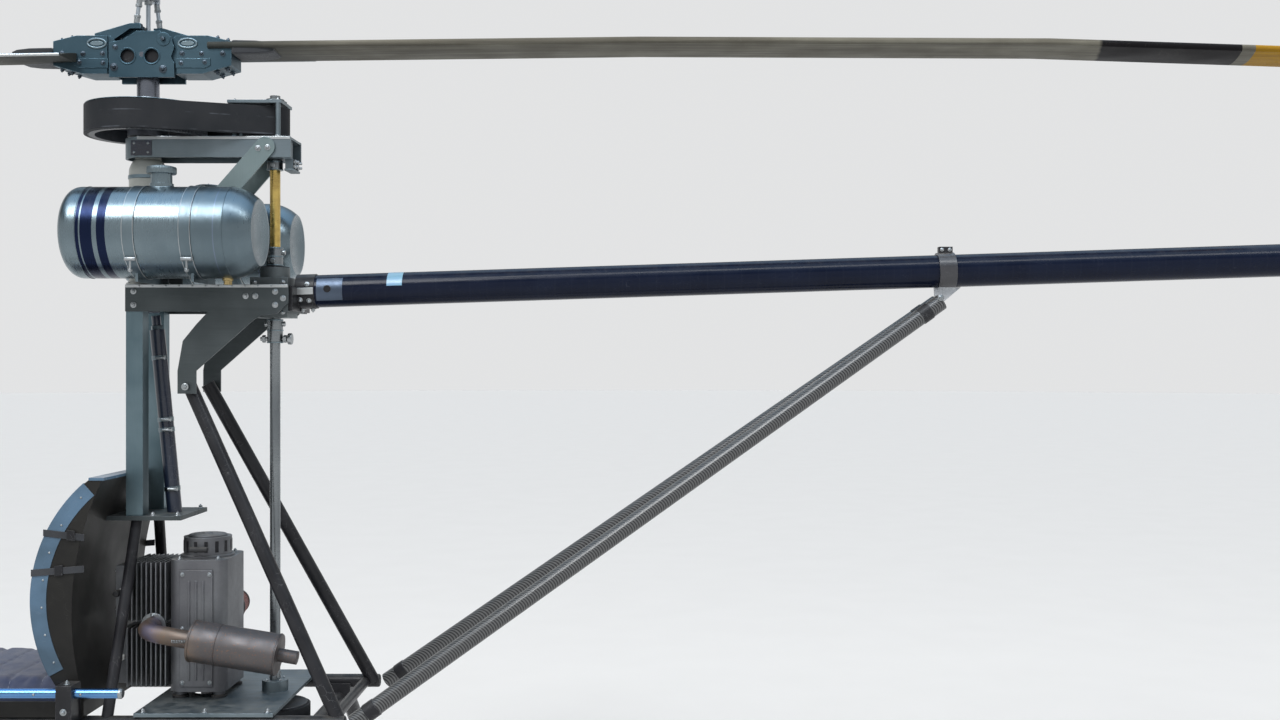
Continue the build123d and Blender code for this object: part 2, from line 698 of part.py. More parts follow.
def frame_side_plate() -> Part:
    """The starboard mid-beam plate with the brace that reaches down and forward."""
    x, z = BRACE_FOOT_X, BRACE_FOOT_Z
    outline = (
        (-POST_SIZE / 2, MID_BEAM_TOP), (MID_BEAM_AFT, MID_BEAM_TOP),
        (MID_BEAM_AFT, MID_BEAM_Z + BEAM_HEEL_RISE), (MID_BEAM_AFT - BEAM_HEEL, MID_BEAM_Z - BRACE_CORNER / 2),
        (BRACE_AFT_X + BRACE_TOE, MID_BEAM_Z - BRACE_CORNER), (BRACE_AFT_X, MID_BEAM_Z - 2 * BRACE_CORNER),
        (x + BRACE_AFT, z + BRACE_ANKLE), (x + BRACE_AFT, z - BRACE_TOE), (x - BRACE_FRONT, z - BRACE_TOE),
        (x - BRACE_FRONT, z + BRACE_ANKLE), (x, z + BRACE_KNEE), (x + BRACE_AFT, MID_BEAM_Z - BRACE_AFT),
        (BRACE_FRONT_X, MID_BEAM_Z), (-POST_SIZE / 2, MID_BEAM_Z),
    )
    return side_profile(outline, PLATE_Y, PLATE_Y + PLATE_THICKNESS)


def mid_beam_core() -> list:
    """Cross plates between the side plates: one under the mast, one at the boom."""
    front = MID_BEAM_AFT - BOOM_PLATE_DEPTH
    boom_plate = box((front, front + BOOM_PLATE_THICKNESS), (-PLATE_Y, PLATE_Y), (MID_BEAM_Z, MID_BEAM_TOP))
    base = box((-POST_SIZE / 2, BASE_PLATE_AFT), (-POST_Y + POST_SIZE / 2, POST_Y - POST_SIZE / 2),
               (MID_BEAM_TOP - BASE_PLATE, MID_BEAM_TOP))
    base -= upright(SHAFT_RADIUS + WORKING_GAP, 0, 0, MID_BEAM_Z, MID_BEAM_TOP + 1)
    base += diagonal_foot() + mirror(diagonal_foot(), about=Plane.XZ)
    return [boom_plate, base]


def bevel_gearbox() -> Part:
    """The gearbox that turns the drive to the tail, round the drive shaft."""
    low, high = MID_BEAM_Z - GEARBOX_DROP, MID_BEAM_TOP + GEARBOX_RISE
    case = box((BELT_CENTRES - GEARBOX_HALF, MID_BEAM_AFT - BOOM_PLATE_DEPTH), (-GEARBOX_HALF, GEARBOX_HALF),
               (low, high))
    case += upright(GEARBOX_NOSE_RADIUS, BELT_CENTRES, 0, high, high + GEARBOX_NOSE_RISE)
    return case - upright(DRIVE_RADIUS + RUNNING_FIT, BELT_CENTRES, 0, low - 1, high + GEARBOX_NOSE_RISE + 1)


def dome_middle(start, end) -> tuple:
    """The middle of the arc between two points (along, radius) that has its centre on the axis."""
    centre = (end[0] ** 2 + end[1] ** 2 - start[0] ** 2 - start[1] ** 2) / (2 * (end[0] - start[0]))
    radius = hypot(start[0] - centre, start[1])
    angle = (atan2(start[1], start[0] - centre) + atan2(end[1], end[0] - centre)) / 2
    return centre + radius * cos(angle), radius * sin(angle)


def mast_housing() -> Part:
    """The pale housing of the rotor shaft, with a bell-shaped shoulder under the top beam."""
    shoulder_z = TOP_BEAM_Z - HOUSING_SHOULDER
    top = TOP_BEAM_TOP - TOP_BEAM_WALL
    foot_top = MID_BEAM_TOP + FLANGE_THICKNESS
    bore = SHAFT_RADIUS + RUNNING_FIT
    edge = Polyline((HOUSING_NECK, TOP_BEAM_Z), (HOUSING_NECK, top), (bore, top), (bore, MID_BEAM_TOP),
                    (HOUSING_BASE, MID_BEAM_TOP), (HOUSING_BASE, foot_top), (HOUSING_RADIUS, foot_top),
                    (HOUSING_RADIUS, shoulder_z))
    level, width = dome_middle((shoulder_z, HOUSING_RADIUS), (TOP_BEAM_Z, HOUSING_NECK))
    bell = ThreePointArc((HOUSING_RADIUS, shoulder_z), (width, level), (HOUSING_NECK, TOP_BEAM_Z))
    housing = revolve(Plane.XZ * make_face([edge, bell]), axis=Axis.Z, revolution_arc=360)
    return housing - upright(HOUSING_BORE, 0, 0, MID_BEAM_TOP + HOUSING_BEARING, shoulder_z - HOUSING_BEARING)


def beam_footprint(inset: float, aft: float) -> Sketch:
    """The top beam seen from above, rounded about the mast, less an inset."""
    half = TOP_BEAM_HALF - inset
    return Circle(half) + Pos(aft / 2, 0) * Rectangle(aft, 2 * half)


def top_beam() -> Part:
    """The channel under the belt: open below and aft, round in front."""
    web = TOP_BEAM_TOP - TOP_BEAM_WALL
    beam = extrude(Pos(0, 0, TOP_BEAM_Z) * beam_footprint(0, TOP_BEAM_AFT), amount=TOP_BEAM_TOP - TOP_BEAM_Z)
    beam -= extrude(Pos(0, 0, TOP_BEAM_Z - 1) * beam_footprint(TOP_BEAM_WALL, TOP_BEAM_AFT + 1),
                    amount=web - TOP_BEAM_Z + 1)
    beam += upright(BEARING_BOSS_RADIUS, BELT_CENTRES, 0, TOP_BEAM_Z, web)
    beam -= upright(SHAFT_RADIUS + WORKING_GAP, 0, 0, TOP_BEAM_Z - 1, TOP_BEAM_TOP + 1)
    return beam - upright(DRIVE_RADIUS + RUNNING_FIT, BELT_CENTRES, 0, TOP_BEAM_Z - 1, TOP_BEAM_TOP + 1)


def diagonal_bar() -> Part:
    """The starboard flat bar from the foot of the housing to the beam's aft end."""
    run = DIAGONAL_HEAD_X - DIAGONAL_FOOT_X
    rise = DIAGONAL_HEAD_Z - DIAGONAL_FOOT_Z
    length = hypot(run, rise)
    lean = degrees(atan2(rise, run))
    centre = ((DIAGONAL_FOOT_X + DIAGONAL_HEAD_X) / 2, (DIAGONAL_FOOT_Z + DIAGONAL_HEAD_Z) / 2)
    face = Pos(*centre) * Rot(0, 0, lean) * SlotCenterToCenter(length, DIAGONAL_WIDTH)
    return side_plate(Sketch() + face, TOP_BEAM_HALF, TOP_BEAM_HALF + PLATE_THICKNESS)


def diagonal_foot() -> Part:
    """The starboard ear that carries the foot of the flat bar."""
    half = DIAGONAL_EAR / 2
    return box((DIAGONAL_FOOT_X - half, DIAGONAL_FOOT_X + half),
               (TOP_BEAM_HALF - PLATE_THICKNESS, TOP_BEAM_HALF),
               (MID_BEAM_TOP - BASE_PLATE, DIAGONAL_FOOT_Z + DIAGONAL_EAR_RISE))


def top_plate_low() -> float:
    """Height of the top plate's underside."""
    return BELT_Z + BELT_WIDTH + TOP_PLATE_GAP


def top_plate() -> Part:
    """The plate over the small sprocket, on four standoffs."""
    low = top_plate_low()
    plate = box((BELT_CENTRES - TOP_PLATE_REACH, BELT_CENTRES + TOP_PLATE_OVER),
                (-TOP_PLATE_HALF, TOP_PLATE_HALF),
                (low, low + TOP_PLATE_THICKNESS))
    plate -= upright(DRIVE_RADIUS + RUNNING_FIT, BELT_CENTRES, 0, low - 1, low + TOP_PLATE_THICKNESS + 1)
    for x, y in STANDOFFS:
        for side in SIDES:
            plate += upright(STANDOFF_RADIUS, BELT_CENTRES + x, side * y, TOP_BEAM_TOP, low)
    return plate


def control_tube() -> Part:
    """The push tube from the seat frame up to the foot of the hollow shaft, with its slimmer rod."""
    foot, head = (CONTROL_FOOT_X, 0, POST_FOOT_Z), (CONTROL_HEAD_X, 0, CONTROL_HEAD_Z)
    lean = (CONTROL_FOOT_X - CONTROL_HEAD_X) / (CONTROL_HEAD_Z - POST_FOOT_Z)
    top = MID_BEAM_Z - WORKING_GAP - 1
    tip = (CONTROL_HEAD_X - lean * (top - CONTROL_HEAD_Z), 0, top)
    start = (CONTROL_FOOT_X + lean * FOOT_PLATE_THICKNESS / 2, 0, POST_FOOT_Z - FOOT_PLATE_THICKNESS / 2)
    return rod(start, head, CONTROL_TUBE_RADIUS) + rod(foot, tip, CONTROL_ROD_RADIUS) - plain_foot_plate()


# Tanks

def dome(start, end) -> ThreePointArc:
    """The arc of a spherical tank end between two points (along, radius)."""
    return ThreePointArc(start, dome_middle(start, end), end)


def tank_profile() -> Sketch:
    """Half of the tank's length section: domed in front, shouldered and recessed aft."""
    front, floor = (TANK_FRONT, 0), (TANK_AFT - TANK_RECESS, 0)
    brow = (TANK_FRONT + TANK_DISH, TANK_DISH_RADIUS)
    knuckle = (brow[0] + TANK_KNUCKLE, TANK_RADIUS)
    bulge = (brow[0] + TANK_KNUCKLE * 0.3, TANK_DISH_RADIUS + (TANK_RADIUS - TANK_DISH_RADIUS) * 0.64)
    shoulder = (TANK_AFT - TANK_SHOULDER, TANK_RADIUS)
    edge, lip = (TANK_AFT, TANK_END_RADIUS), (TANK_AFT, TANK_END_RADIUS - TANK_RIM)
    return make_face([
        dome(front, brow), ThreePointArc(brow, bulge, knuckle), Line(knuckle, shoulder), dome(shoulder, edge),
        Line(edge, lip), dome(lip, floor), Line(floor, front)])


def fuel_tank() -> Part:
    """The starboard barrel tank with its filler neck and cap."""
    tank = Pos(0, TANK_Y, TANK_Z) * revolve(tank_profile(), axis=Axis.X, revolution_arc=360)
    top = TANK_Z + TANK_RADIUS
    tank += upright(CAP_FLARE, CAP_X, TANK_Y, TANK_Z + TANK_RADIUS * 0.9, top + CAP_BASE)
    tank += upright(CAP_NECK, CAP_X, TANK_Y, top, top + CAP_HEIGHT)
    return tank + upright(CAP_RADIUS, CAP_X, TANK_Y, top + CAP_HEIGHT - CAP_LID, top + CAP_HEIGHT)


def tank_cradle() -> list:
    """Saddles on the side plates and a strap round each tank at each saddle."""
    outer = TANK_RADIUS + STRAP_THICKNESS
    pieces = []
    for x in SADDLE_X:
        saddle = box((x - SADDLE_THICKNESS / 2, x + SADDLE_THICKNESS / 2),
                     (SADDLE_INNER, SADDLE_OUTER), (MID_BEAM_TOP, MID_BEAM_TOP + SADDLE_HEIGHT))
        saddle -= rod((x - STRAP_WIDTH, TANK_Y, TANK_Z), (x + STRAP_WIDTH, TANK_Y, TANK_Z), outer)
        strap = rod((x - STRAP_WIDTH / 2, TANK_Y, TANK_Z), (x + STRAP_WIDTH / 2, TANK_Y, TANK_Z),
                    outer, TANK_RADIUS)
        seated = saddle + strap
        pieces += [seated, mirror(seated, about=Plane.XZ)]
    return pieces


# Lower frame and landing gear

def side_rail() -> Part:
    """The starboard rail, straight under the seat and bent down and in to the nose."""
    points = ((RAIL_AFT, RAIL_Y, RAIL_Z), (RAIL_BEND_X, RAIL_Y, RAIL_Z),
              (RAIL_NOSE_X, RAIL_NOSE_Y, RAIL_NOSE_Z))
    return bent_rod(points, RAIL_BEND, RAIL_RADIUS)


def both_rails() -> Part:
    """The two rails, for trimming what ends on them."""
    rail = side_rail()
    return rail + mirror(rail, about=Plane.XZ)


def rail_point(x: float):
    """Half width and height of the rails' centre line at a distance aft of the mast."""
    if x >= RAIL_BEND_X:
        return RAIL_Y, RAIL_Z
    share = (RAIL_BEND_X - x) / (RAIL_BEND_X - RAIL_NOSE_X)
    return RAIL_Y + (RAIL_NOSE_Y - RAIL_Y) * share, RAIL_Z + (RAIL_NOSE_Z - RAIL_Z) * share


def frame_crosses(rails: Part) -> list:
    """The cross members between the rails, trimmed to them and to the rear legs."""
    leg = rear_leg(rails)
    others = rails + leg + mirror(leg, about=Plane.XZ)
    crosses = []
    for x in CROSS_X + (RAIL_AFT - CROSS_AFT_SHORT,):
        y, z = rail_point(x)
        crosses.append(rod((x, -y, z), (x, y, z), CROSS_RADIUS) - others)
    return crosses


def lower_leg(rails: Part) -> Part:
    """The starboard leg from the foot plate to the rail."""
    under = POST_FOOT_Z - FOOT_PLATE_THICKNESS
    leg = rod((0, POST_Y, under), (LEG_FOOT_X, RAIL_Y, RAIL_Z), LOWER_LEG_RADIUS)
    return leg - rails - box((-RAIL_Y, RAIL_Y), (0, RAIL_Y), (under, POST_FOOT_Z))


def plain_foot_plate() -> Part:
    """The cross plate under the two posts, which steadies the engine and the seat."""
    half = PLATE_Y + FOOT_PLATE_MARGIN
    return box((SEAT_BACK_MID_X, FOOT_PLATE_AFT), (-half, half),
               (POST_FOOT_Z - FOOT_PLATE_THICKNESS, POST_FOOT_Z))


def foot_plate() -> Part:
    """The foot plate, trimmed to the seat's shell in front."""
    behind = seat_hollow(0.0) + seat_outline()
    return plain_foot_plate() - side_plate(behind, -SEAT_HALF, SEAT_HALF)


def rear_leg(rails: Part) -> Part:
    """The starboard black leg from the brace's foot to the rail's aft end."""
    inner = PLATE_Y - REAR_LEG_RADIUS - WORKING_GAP
    start = (BRACE_FOOT_X + LEG_HEAD_X, inner, BRACE_FOOT_Z + LEG_HEAD_RISE)
    return rod(start, (RAIL_AFT - LEG_END, RAIL_Y - LEG_END_IN, RAIL_Z), REAR_LEG_RADIUS) - rails


def leg_pin() -> Part:
    """The bolt through the brace's foot and the leg."""
    return across(BRACE_PIN_RADIUS, BRACE_FOOT_X + LEG_PIN_X, BRACE_FOOT_Z, PLATE_Y - REAR_LEG_RADIUS,
                  PLATE_Y + BRACE_PIN_REACH)


def skid() -> Part:
    """The starboard skid with its turned-up toe."""
    points = ((SKID_AFT, SKID_Y, SKID_RADIUS), (SKID_BEND_X, SKID_Y, SKID_RADIUS),
              (SKID_TIP_X, SKID_Y, SKID_RADIUS + SKID_TIP_RISE))
    return bent_rod(points, SKID_BEND, SKID_RADIUS)


def both_skids() -> Part:
    """The two skids, for trimming what stands on them."""
    tube = skid()
    return tube + mirror(tube, about=Plane.XZ)


def cross_tube(x: float, skids: Part, rails: Part) -> Part:
    """One bowed leg tube, from skid to skid under the rails, with its clamps."""
    y_rail, z_rail = rail_point(x)
    crown = z_rail - RAIL_RADIUS - GEAR_RADIUS - GEAR_DROP
    foot = SKID_RADIUS * 2
    half = ((SKID_Y, foot), (SKID_Y - GEAR_KNEE_IN, GEAR_KNEE_Z), (y_rail + GEAR_SHOULDER, crown))
    points = [(x, -y, z) for y, z in half] + [(x, y, z) for y, z in reversed(half)]
    tube = bent_rod(points, GEAR_BEND, GEAR_RADIUS)
    for side in SIDES:
        for y, reach, width, low, high in (
                (y_rail, RAIL_CLAMP_HALF, RAIL_CLAMP_WIDTH, crown - GEAR_RADIUS / 3, z_rail - RAIL_RADIUS / 5),
                (SKID_Y, SKID_CLAMP_HALF, SKID_CLAMP_WIDTH, SKID_RADIUS * 0.9, foot + SKID_CLAMP_RISE)):
            tube += box((x - reach, x + reach), (side * y - width, side * y + width), (low, high))
    return tube - rails - skids


def wheel_lug(skids: Part) -> Part:
    """The starboard lug on the skid, bored for a ground-handling wheel's pin."""
    z = 2 * SKID_RADIUS + LUG_RISE
    face = Pos(LUG_X, z) * Circle(LUG_RADIUS)
    face += Pos(LUG_X, (z + SKID_RADIUS) / 2) * Rectangle(LUG_FOOT * LUG_RADIUS, z - SKID_RADIUS)
    face -= Pos(LUG_X, z) * Circle(LUG_BORE)
    plate = side_plate(Sketch() + face, SKID_Y - LUG_THICKNESS / 2, SKID_Y + LUG_THICKNESS / 2)
    return plate - skids


# Cockpit

def seat_outline() -> Sketch:
    """Side view of the wrap-round seat back, drawn in X and Z."""
    front = ThreePointArc((SEAT_TOP_X, SEAT_TOP_Z), (SEAT_WING_X, SEAT_MID_Z), (SEAT_HIP_X, SEAT_LOW_Z))
    back = ThreePointArc((SEAT_BACK_X, SEAT_LOW_Z), (SEAT_BACK_MID_X, SEAT_MID_Z),
                         (SEAT_BACK_TOP_X, SEAT_TOP_Z))
    return make_face([front, Line((SEAT_HIP_X, SEAT_LOW_Z), (SEAT_BACK_X, SEAT_LOW_Z)), back,
                      Line((SEAT_BACK_TOP_X, SEAT_TOP_Z), (SEAT_TOP_X, SEAT_TOP_Z))])


def seat_hollow(inset: float) -> Sketch:
    """Side view of all that lies in front of the seat back's inner face, less an inset."""
    high, low = SEAT_TOP_Z + SEAT_OVER, SEAT_LOW_Z - SEAT_WALL
    shift = SEAT_SHELL + inset
    top, foot = (SEAT_BACK_TOP_X - shift + SEAT_OVER / 4, high), (SEAT_BACK_X - shift, low)
    face = ThreePointArc(top, (SEAT_BACK_MID_X - shift, SEAT_MID_Z), foot)
    return make_face([face, Line(foot, (PAN_FRONT_X, low)), Line((PAN_FRONT_X, low), (PAN_FRONT_X, high)),
                      Line((PAN_FRONT_X, high), top)])


def seat_back() -> Part:
    """The shell of the seat's back: open in front, closed behind and at the sides."""
    outer = side_plate(seat_outline(), -SEAT_HALF, SEAT_HALF)
    return outer - side_plate(seat_hollow(0.0), -SEAT_HALF + SEAT_WALL, SEAT_HALF - SEAT_WALL)


def seat_pan() -> Part:
    """The pan on the rails: a tray with a low lip."""
    base = RAIL_Z + RAIL_RADIUS
    tray = box((PAN_FRONT_X, PAN_AFT_X), (-SEAT_HALF, SEAT_HALF), (base, base + PAN_LIP))
    inner = box((PAN_FRONT_X + SEAT_WALL, PAN_AFT_X - SEAT_WALL),
                (-SEAT_HALF + SEAT_WALL, SEAT_HALF - SEAT_WALL), (base + PAN_THICKNESS, base + PAN_LIP + 1))
    return tray - inner


def seat_cushion() -> Part:
    """The bottom cushion in the pan."""
    base = RAIL_Z + RAIL_RADIUS + PAN_THICKNESS + SEAT_GAP
    gap = SEAT_WALL + SEAT_GAP
    pad = box((PAN_FRONT_X + gap, PAN_AFT_X - gap - CUSHION_SETBACK), (-SEAT_HALF + gap, SEAT_HALF - gap),
              (base, base + CUSHION_THICKNESS))
    return fillet(pad.edges().filter_by(Axis.Z), CUSHION_CORNER)


def back_cushion() -> Part:
    """The back cushion against the seat's shell."""
    half = SEAT_HALF - 2 * SEAT_WALL
    pad = side_plate(seat_hollow(SEAT_GAP) - seat_hollow(SEAT_GAP + BACK_PAD), -half, half)
    return pad & box((PAN_FRONT_X, 0), (-half, half), (BACK_PAD_LOW, SEAT_TOP_Z - BACK_PAD_DROP))


def collective_lever() -> Part:
    """The polished tube at the pilot's left, with its pivot at the aft end."""
    return rod((LEVER_FRONT, -LEVER_Y, LEVER_Z), (LEVER_AFT, -LEVER_Y, LEVER_Z), LEVER_RADIUS,
               LEVER_RADIUS - LEVER_WALL)


def collective_bracket(rails: Part) -> Part:
    """The bracket that carries the collective lever on the left rail."""
    front = BRACKET_AFT - BRACKET_LENGTH
    reach = LEVER_RADIUS + BRACKET_WALL
    block = box((front, BRACKET_AFT), (-LEVER_Y - reach, -RAIL_Y), (RAIL_Z - RAIL_RADIUS / 2, LEVER_Z + reach))
    block -= box((front, BRACKET_AFT), (-SEAT_HALF - SEAT_GAP, -RAIL_Y),
                 (RAIL_Z + RAIL_RADIUS - SEAT_GAP, LEVER_Z + reach))
    block -= rod((front, -LEVER_Y, LEVER_Z), (BRACKET_AFT, -LEVER_Y, LEVER_Z), LEVER_RADIUS)
    return block - rails


def collective_grip() -> Part:
    """The grip on the collective lever's front end."""
    return rod((LEVER_FRONT - LEVER_GRIP_LENGTH, -LEVER_Y, LEVER_Z), (LEVER_FRONT, -LEVER_Y, LEVER_Z),
               LEVER_RADIUS + LEVER_GRIP)


def stick_points() -> list:
    """The foot, knee and top of the stick."""
    x, foot = CROSS_X[1], rail_point(CROSS_X[1])[1]
    return [(x, 0, foot), (x, 0, foot + STICK_KNEE_RISE), (x + STICK_LEAN, 0, foot + STICK_TOP_RISE)]


def cyclic_stick(cross: Part) -> Part:
    """The stick between the pilot's knees, bent back to the grip."""
    return bent_rod(stick_points(), STICK_BEND, STICK_RADIUS) - cross


def cyclic_grip() -> Part:
    """The grip on the stick."""
    knee, top = (Vector(*point) for point in stick_points()[1:])
    return rod(top, top + (top - knee).normalized() * STICK_GRIP_LENGTH, STICK_GRIP_RADIUS)


def pedals(rails: Part) -> Part:
    """Two foot pedals on their pivot bar between the rails."""
    y_bar, z_bar = rail_point(PEDAL_X)
    bar = rod((PEDAL_X, -y_bar, z_bar), (PEDAL_X, y_bar, z_bar), PEDAL_BAR_RADIUS)
    front, low = PEDAL_X - PEDAL_LEAN - PEDAL_DEPTH * 0.6, z_bar + PEDAL_RISE - PEDAL_SET
    for side in SIDES:
        y = side * PEDAL_Y
        bar += rod((PEDAL_X, y, z_bar), (PEDAL_X - PEDAL_LEAN, y, z_bar + PEDAL_RISE), PEDAL_ARM_RADIUS)
        bar += box((front, front + PEDAL_DEPTH), (y - PEDAL_HALF, y + PEDAL_HALF), (low, low + PEDAL_HEIGHT))
    return bar - rails


def instrument_post(cross: Part) -> Part:
    """The post from the front cross member to the instrument pod."""
    z = rail_point(CROSS_X[0])[1]
    post = rod((CROSS_X[0], 0, z), (POD_FRONT + POD_DEPTH / 2, 0, pod_low()), POD_POST_RADIUS)
    return post - cross - instrument_pod()


def pod_low() -> float:
    """Height where the instrument post meets the pod."""
    return rail_point(CROSS_X[0])[1] + POD_RISE


def instrument_pod() -> Part:
    """The small instrument pod, facing the pilot."""
    low = pod_low() - POD_DROP
    pod = box((POD_FRONT, POD_FRONT + POD_DEPTH), (-POD_HALF, POD_HALF), (low, low + POD_HEIGHT))
    return fillet(pod.edges().filter_by(Axis.X), POD_CORNER)


# Engine

def engine_plate() -> Part:
    """The plate across the rails that carries the engine and the lower bearing."""
    half, low, high = RAIL_Y + ENGINE_PLATE_MARGIN, ENGINE_PLATE_Z, ENGINE_PLATE_Z + ENGINE_PLATE_THICKNESS
    plate = box((ENGINE_PLATE_FRONT, ENGINE_PLATE_AFT), (-half, half), (low, high))
    plate -= upright(CRANK_HOLE_RADIUS, CRANK_X, 0, low - 1, high + 1)
    plate += upright(LOWER_BEARING_RADIUS, BELT_CENTRES, 0, low, low + LOWER_BEARING_HEIGHT)
    high = low + LOWER_BEARING_HEIGHT
    return plate - upright(DRIVE_RADIUS + RUNNING_FIT, BELT_CENTRES, 0, low - 1, high + 1)


def crankcase() -> Part:
    """The crankcase with its vertical crankshaft and starter housing, on four feet."""
    top = CASE_BOTTOM + CASE_HEIGHT
    case = box((CRANK_X - CASE_LENGTH / 2, CRANK_X + CASE_LENGTH / 2), (-CASE_WIDTH / 2, CASE_WIDTH / 2),
               (CASE_BOTTOM, top))
    case = fillet(case.edges().filter_by(Axis.Z), CASE_CORNER)
    for x in (CRANK_X - ENGINE_FOOT_X, CRANK_X + ENGINE_FOOT_X):
        for side in SIDES:
            case += upright(ENGINE_FOOT_RADIUS, x, side * ENGINE_FOOT_Y,
                            CASE_BOTTOM - ENGINE_FOOT_HEIGHT, CASE_BOTTOM)
    case += upright(CRANK_RADIUS, CRANK_X, 0, PRIMARY_BELT_Z + PRIMARY_BELT_WIDTH, CASE_BOTTOM)
    return case + upright(STARTER_RADIUS, CRANK_X, 0, top, top + STARTER_HEIGHT)


def cylinder(index: int) -> Part:
    """One finned cylinder, pointing forward from the crankcase, with its head."""
    z = CYLINDER_LOW_Z + index * CYLINDER_PITCH
    face = CRANK_X - CASE_LENGTH / 2
    reach = FIN_COUNT * FIN_PITCH
    wide, tall = FIN_WIDTH / 2, FIN_HEIGHT / 2
    barrel = rod((face, 0, z), (face - reach, 0, z), CYLINDER_RADIUS)
    for step in range(FIN_COUNT):
        x = face - (step + FIN_SETBACK) * FIN_PITCH
        barrel += box((x - FIN_THICKNESS, x), (-wide, wide), (z - tall, z + tall))
    wide, tall = wide - HEAD_INSET, tall - HEAD_INSET
    return barrel + box((face - reach - HEAD_LENGTH, face - reach), (-wide, wide), (z - tall, z + tall))


def carburettor() -> Part:
    """The carburettor and its conical air filter on the starboard side."""
    z = CYLINDER_LOW_Z + CYLINDER_PITCH / 2
    side = CASE_WIDTH / 2
    mouth = side + THROAT_LENGTH
    body = rod((CRANK_X, side, z), (CRANK_X, mouth, z), THROAT_RADIUS)
    body += box((CRANK_X - FLOAT_HALF, CRANK_X + FLOAT_HALF), (side + FLOAT_START, side + FLOAT_END),
                (z - FLOAT_DROP, z + FLOAT_RISE))
    rings = [Plane(origin=(CRANK_X, y, z), z_dir=(0, 1, 0)) * Circle(radius)
             for y, radius in ((mouth, FILTER_RADIUS), (mouth + FILTER_LENGTH, FILTER_TIP_RADIUS))]
    return body + loft(rings)


def exhaust() -> Part:
    """The exhaust: a pipe from the cylinders to a muffler beside the engine."""
    y, z = -CASE_WIDTH / 2 - EXHAUST_OUT, CASE_BOTTOM + EXHAUST_RISE
    knee = (EXHAUST_BEND_X, y, z - EXHAUST_FALL)
    points = ((EXHAUST_PORT_X, -FIN_WIDTH / 2, z), (EXHAUST_PORT_X, y, z), knee)
    pipe = bent_rod(points, EXHAUST_BEND, EXHAUST_RADIUS)
    end = (knee[0] + MUFFLER_LENGTH, y, knee[2] - MUFFLER_FALL)
    tip = (end[0] + TAILPIPE_LENGTH, y, end[2] - TAILPIPE_FALL)
    return pipe + rod(knee, end, MUFFLER_RADIUS) + rod(end, tip, TAILPIPE_RADIUS)


def primary_pulley(x: float, radius: float, bore: float) -> Part:
    """One flat pulley of the primary belt with its rims."""
    low = PRIMARY_BELT_Z
    wheel = upright(radius, x, 0, low, low + PRIMARY_BELT_WIDTH)
    if bore:
        wheel -= upright(bore, x, 0, low - 1, low + PRIMARY_BELT_WIDTH + 1)
    return wheel


def primary_belt() -> Part:
    """The primary belt loop between the crank and the drive shaft."""
    centres = BELT_CENTRES - CRANK_X
    inner_crank, inner_shaft = CRANK_PULLEY_RADIUS + BELT_GAP, SHAFT_PULLEY_RADIUS + BELT_GAP
    loop = belt_outline(inner_shaft + PRIMARY_THICKNESS, inner_crank + PRIMARY_THICKNESS, centres)
    loop -= belt_outline(inner_shaft, inner_crank, centres)
    belt = extrude(Pos(0, 0, PRIMARY_BELT_Z + PRIMARY_RIM) * loop, amount=PRIMARY_BELT_WIDTH - 2 * PRIMARY_RIM)
    return Pos(BELT_CENTRES, 0, 0) * Rot(0, 0, 180) * belt


# Tail

def boom_frame() -> Plane:
    """A plane at the boom's front end, its normal along the boom."""
    tilt = radians(BOOM_TILT)
    return Plane(origin=(BOOM_START_X, 0, BOOM_START_Z), z_dir=(cos(tilt), 0, sin(tilt)))


def tail_boom() -> Part:
    """The tail boom tube."""
    return extrude(boom_frame() * Circle(BOOM_RADIUS), amount=BOOM_LENGTH)


def boom_collar(boom: Part) -> Part:
    """The collar that clamps the boom to the frame."""
    collar = extrude(boom_frame() * Circle(COLLAR_RADIUS), amount=COLLAR_LENGTH)
    spigot = box((MID_BEAM_AFT - COLLAR_SPIGOT / 4, BOOM_START_X + COLLAR_SPIGOT * 3 / 4),
                 (COLLAR_SPIGOT * 3 / 4 - PLATE_Y, PLATE_Y - COLLAR_SPIGOT * 3 / 4),
                 (MID_BEAM_Z + COLLAR_SPIGOT / 4, MID_BEAM_TOP - COLLAR_SPIGOT / 4))
    return collar + spigot - boom


def strut_bracket(boom: Part) -> Part:
    """The band and tab under the boom that carry the struts' heads."""
    x = STRUT_HEAD_X
    outer = BOOM_RADIUS + STRUT_BAND
    low = boom_height(x) - outer
    ends = (x - STRUT_BAND_HALF, x + STRUT_BAND_HALF)
    band = rod((ends[0], 0, boom_height(ends[0])), (ends[1], 0, boom_height(ends[1])), outer)
    top, foot = low + STRUT_BAND, low - STRUT_TAB_DROP
    tab = side_profile(((x - STRUT_TAB_FRONT, top), (x + STRUT_TAB_AFT, top), (x - STRUT_TAB_TOE, foot),
                        (x - STRUT_TAB_TIP, foot)), -STRUT_TAB_HALF, STRUT_TAB_HALF)
    return band + tab - boom


def boom_strut(rails: Part) -> Part:
    """The starboard carbon strut from the boom's tab to the rail's aft end."""
    z = boom_height(STRUT_HEAD_X) - BOOM_RADIUS - STRUT_BAND - STRUT_TAB_DROP / 2
    start = (STRUT_HEAD_X - STRUT_HEAD_BACK, STRUT_TAB_HALF + STRUT_RADIUS + RUNNING_FIT, z - STRUT_HEAD_BACK)
    return rod(start, (RAIL_AFT + STRUT_FOOT_REACH, RAIL_Y, RAIL_Z), STRUT_RADIUS) - rails


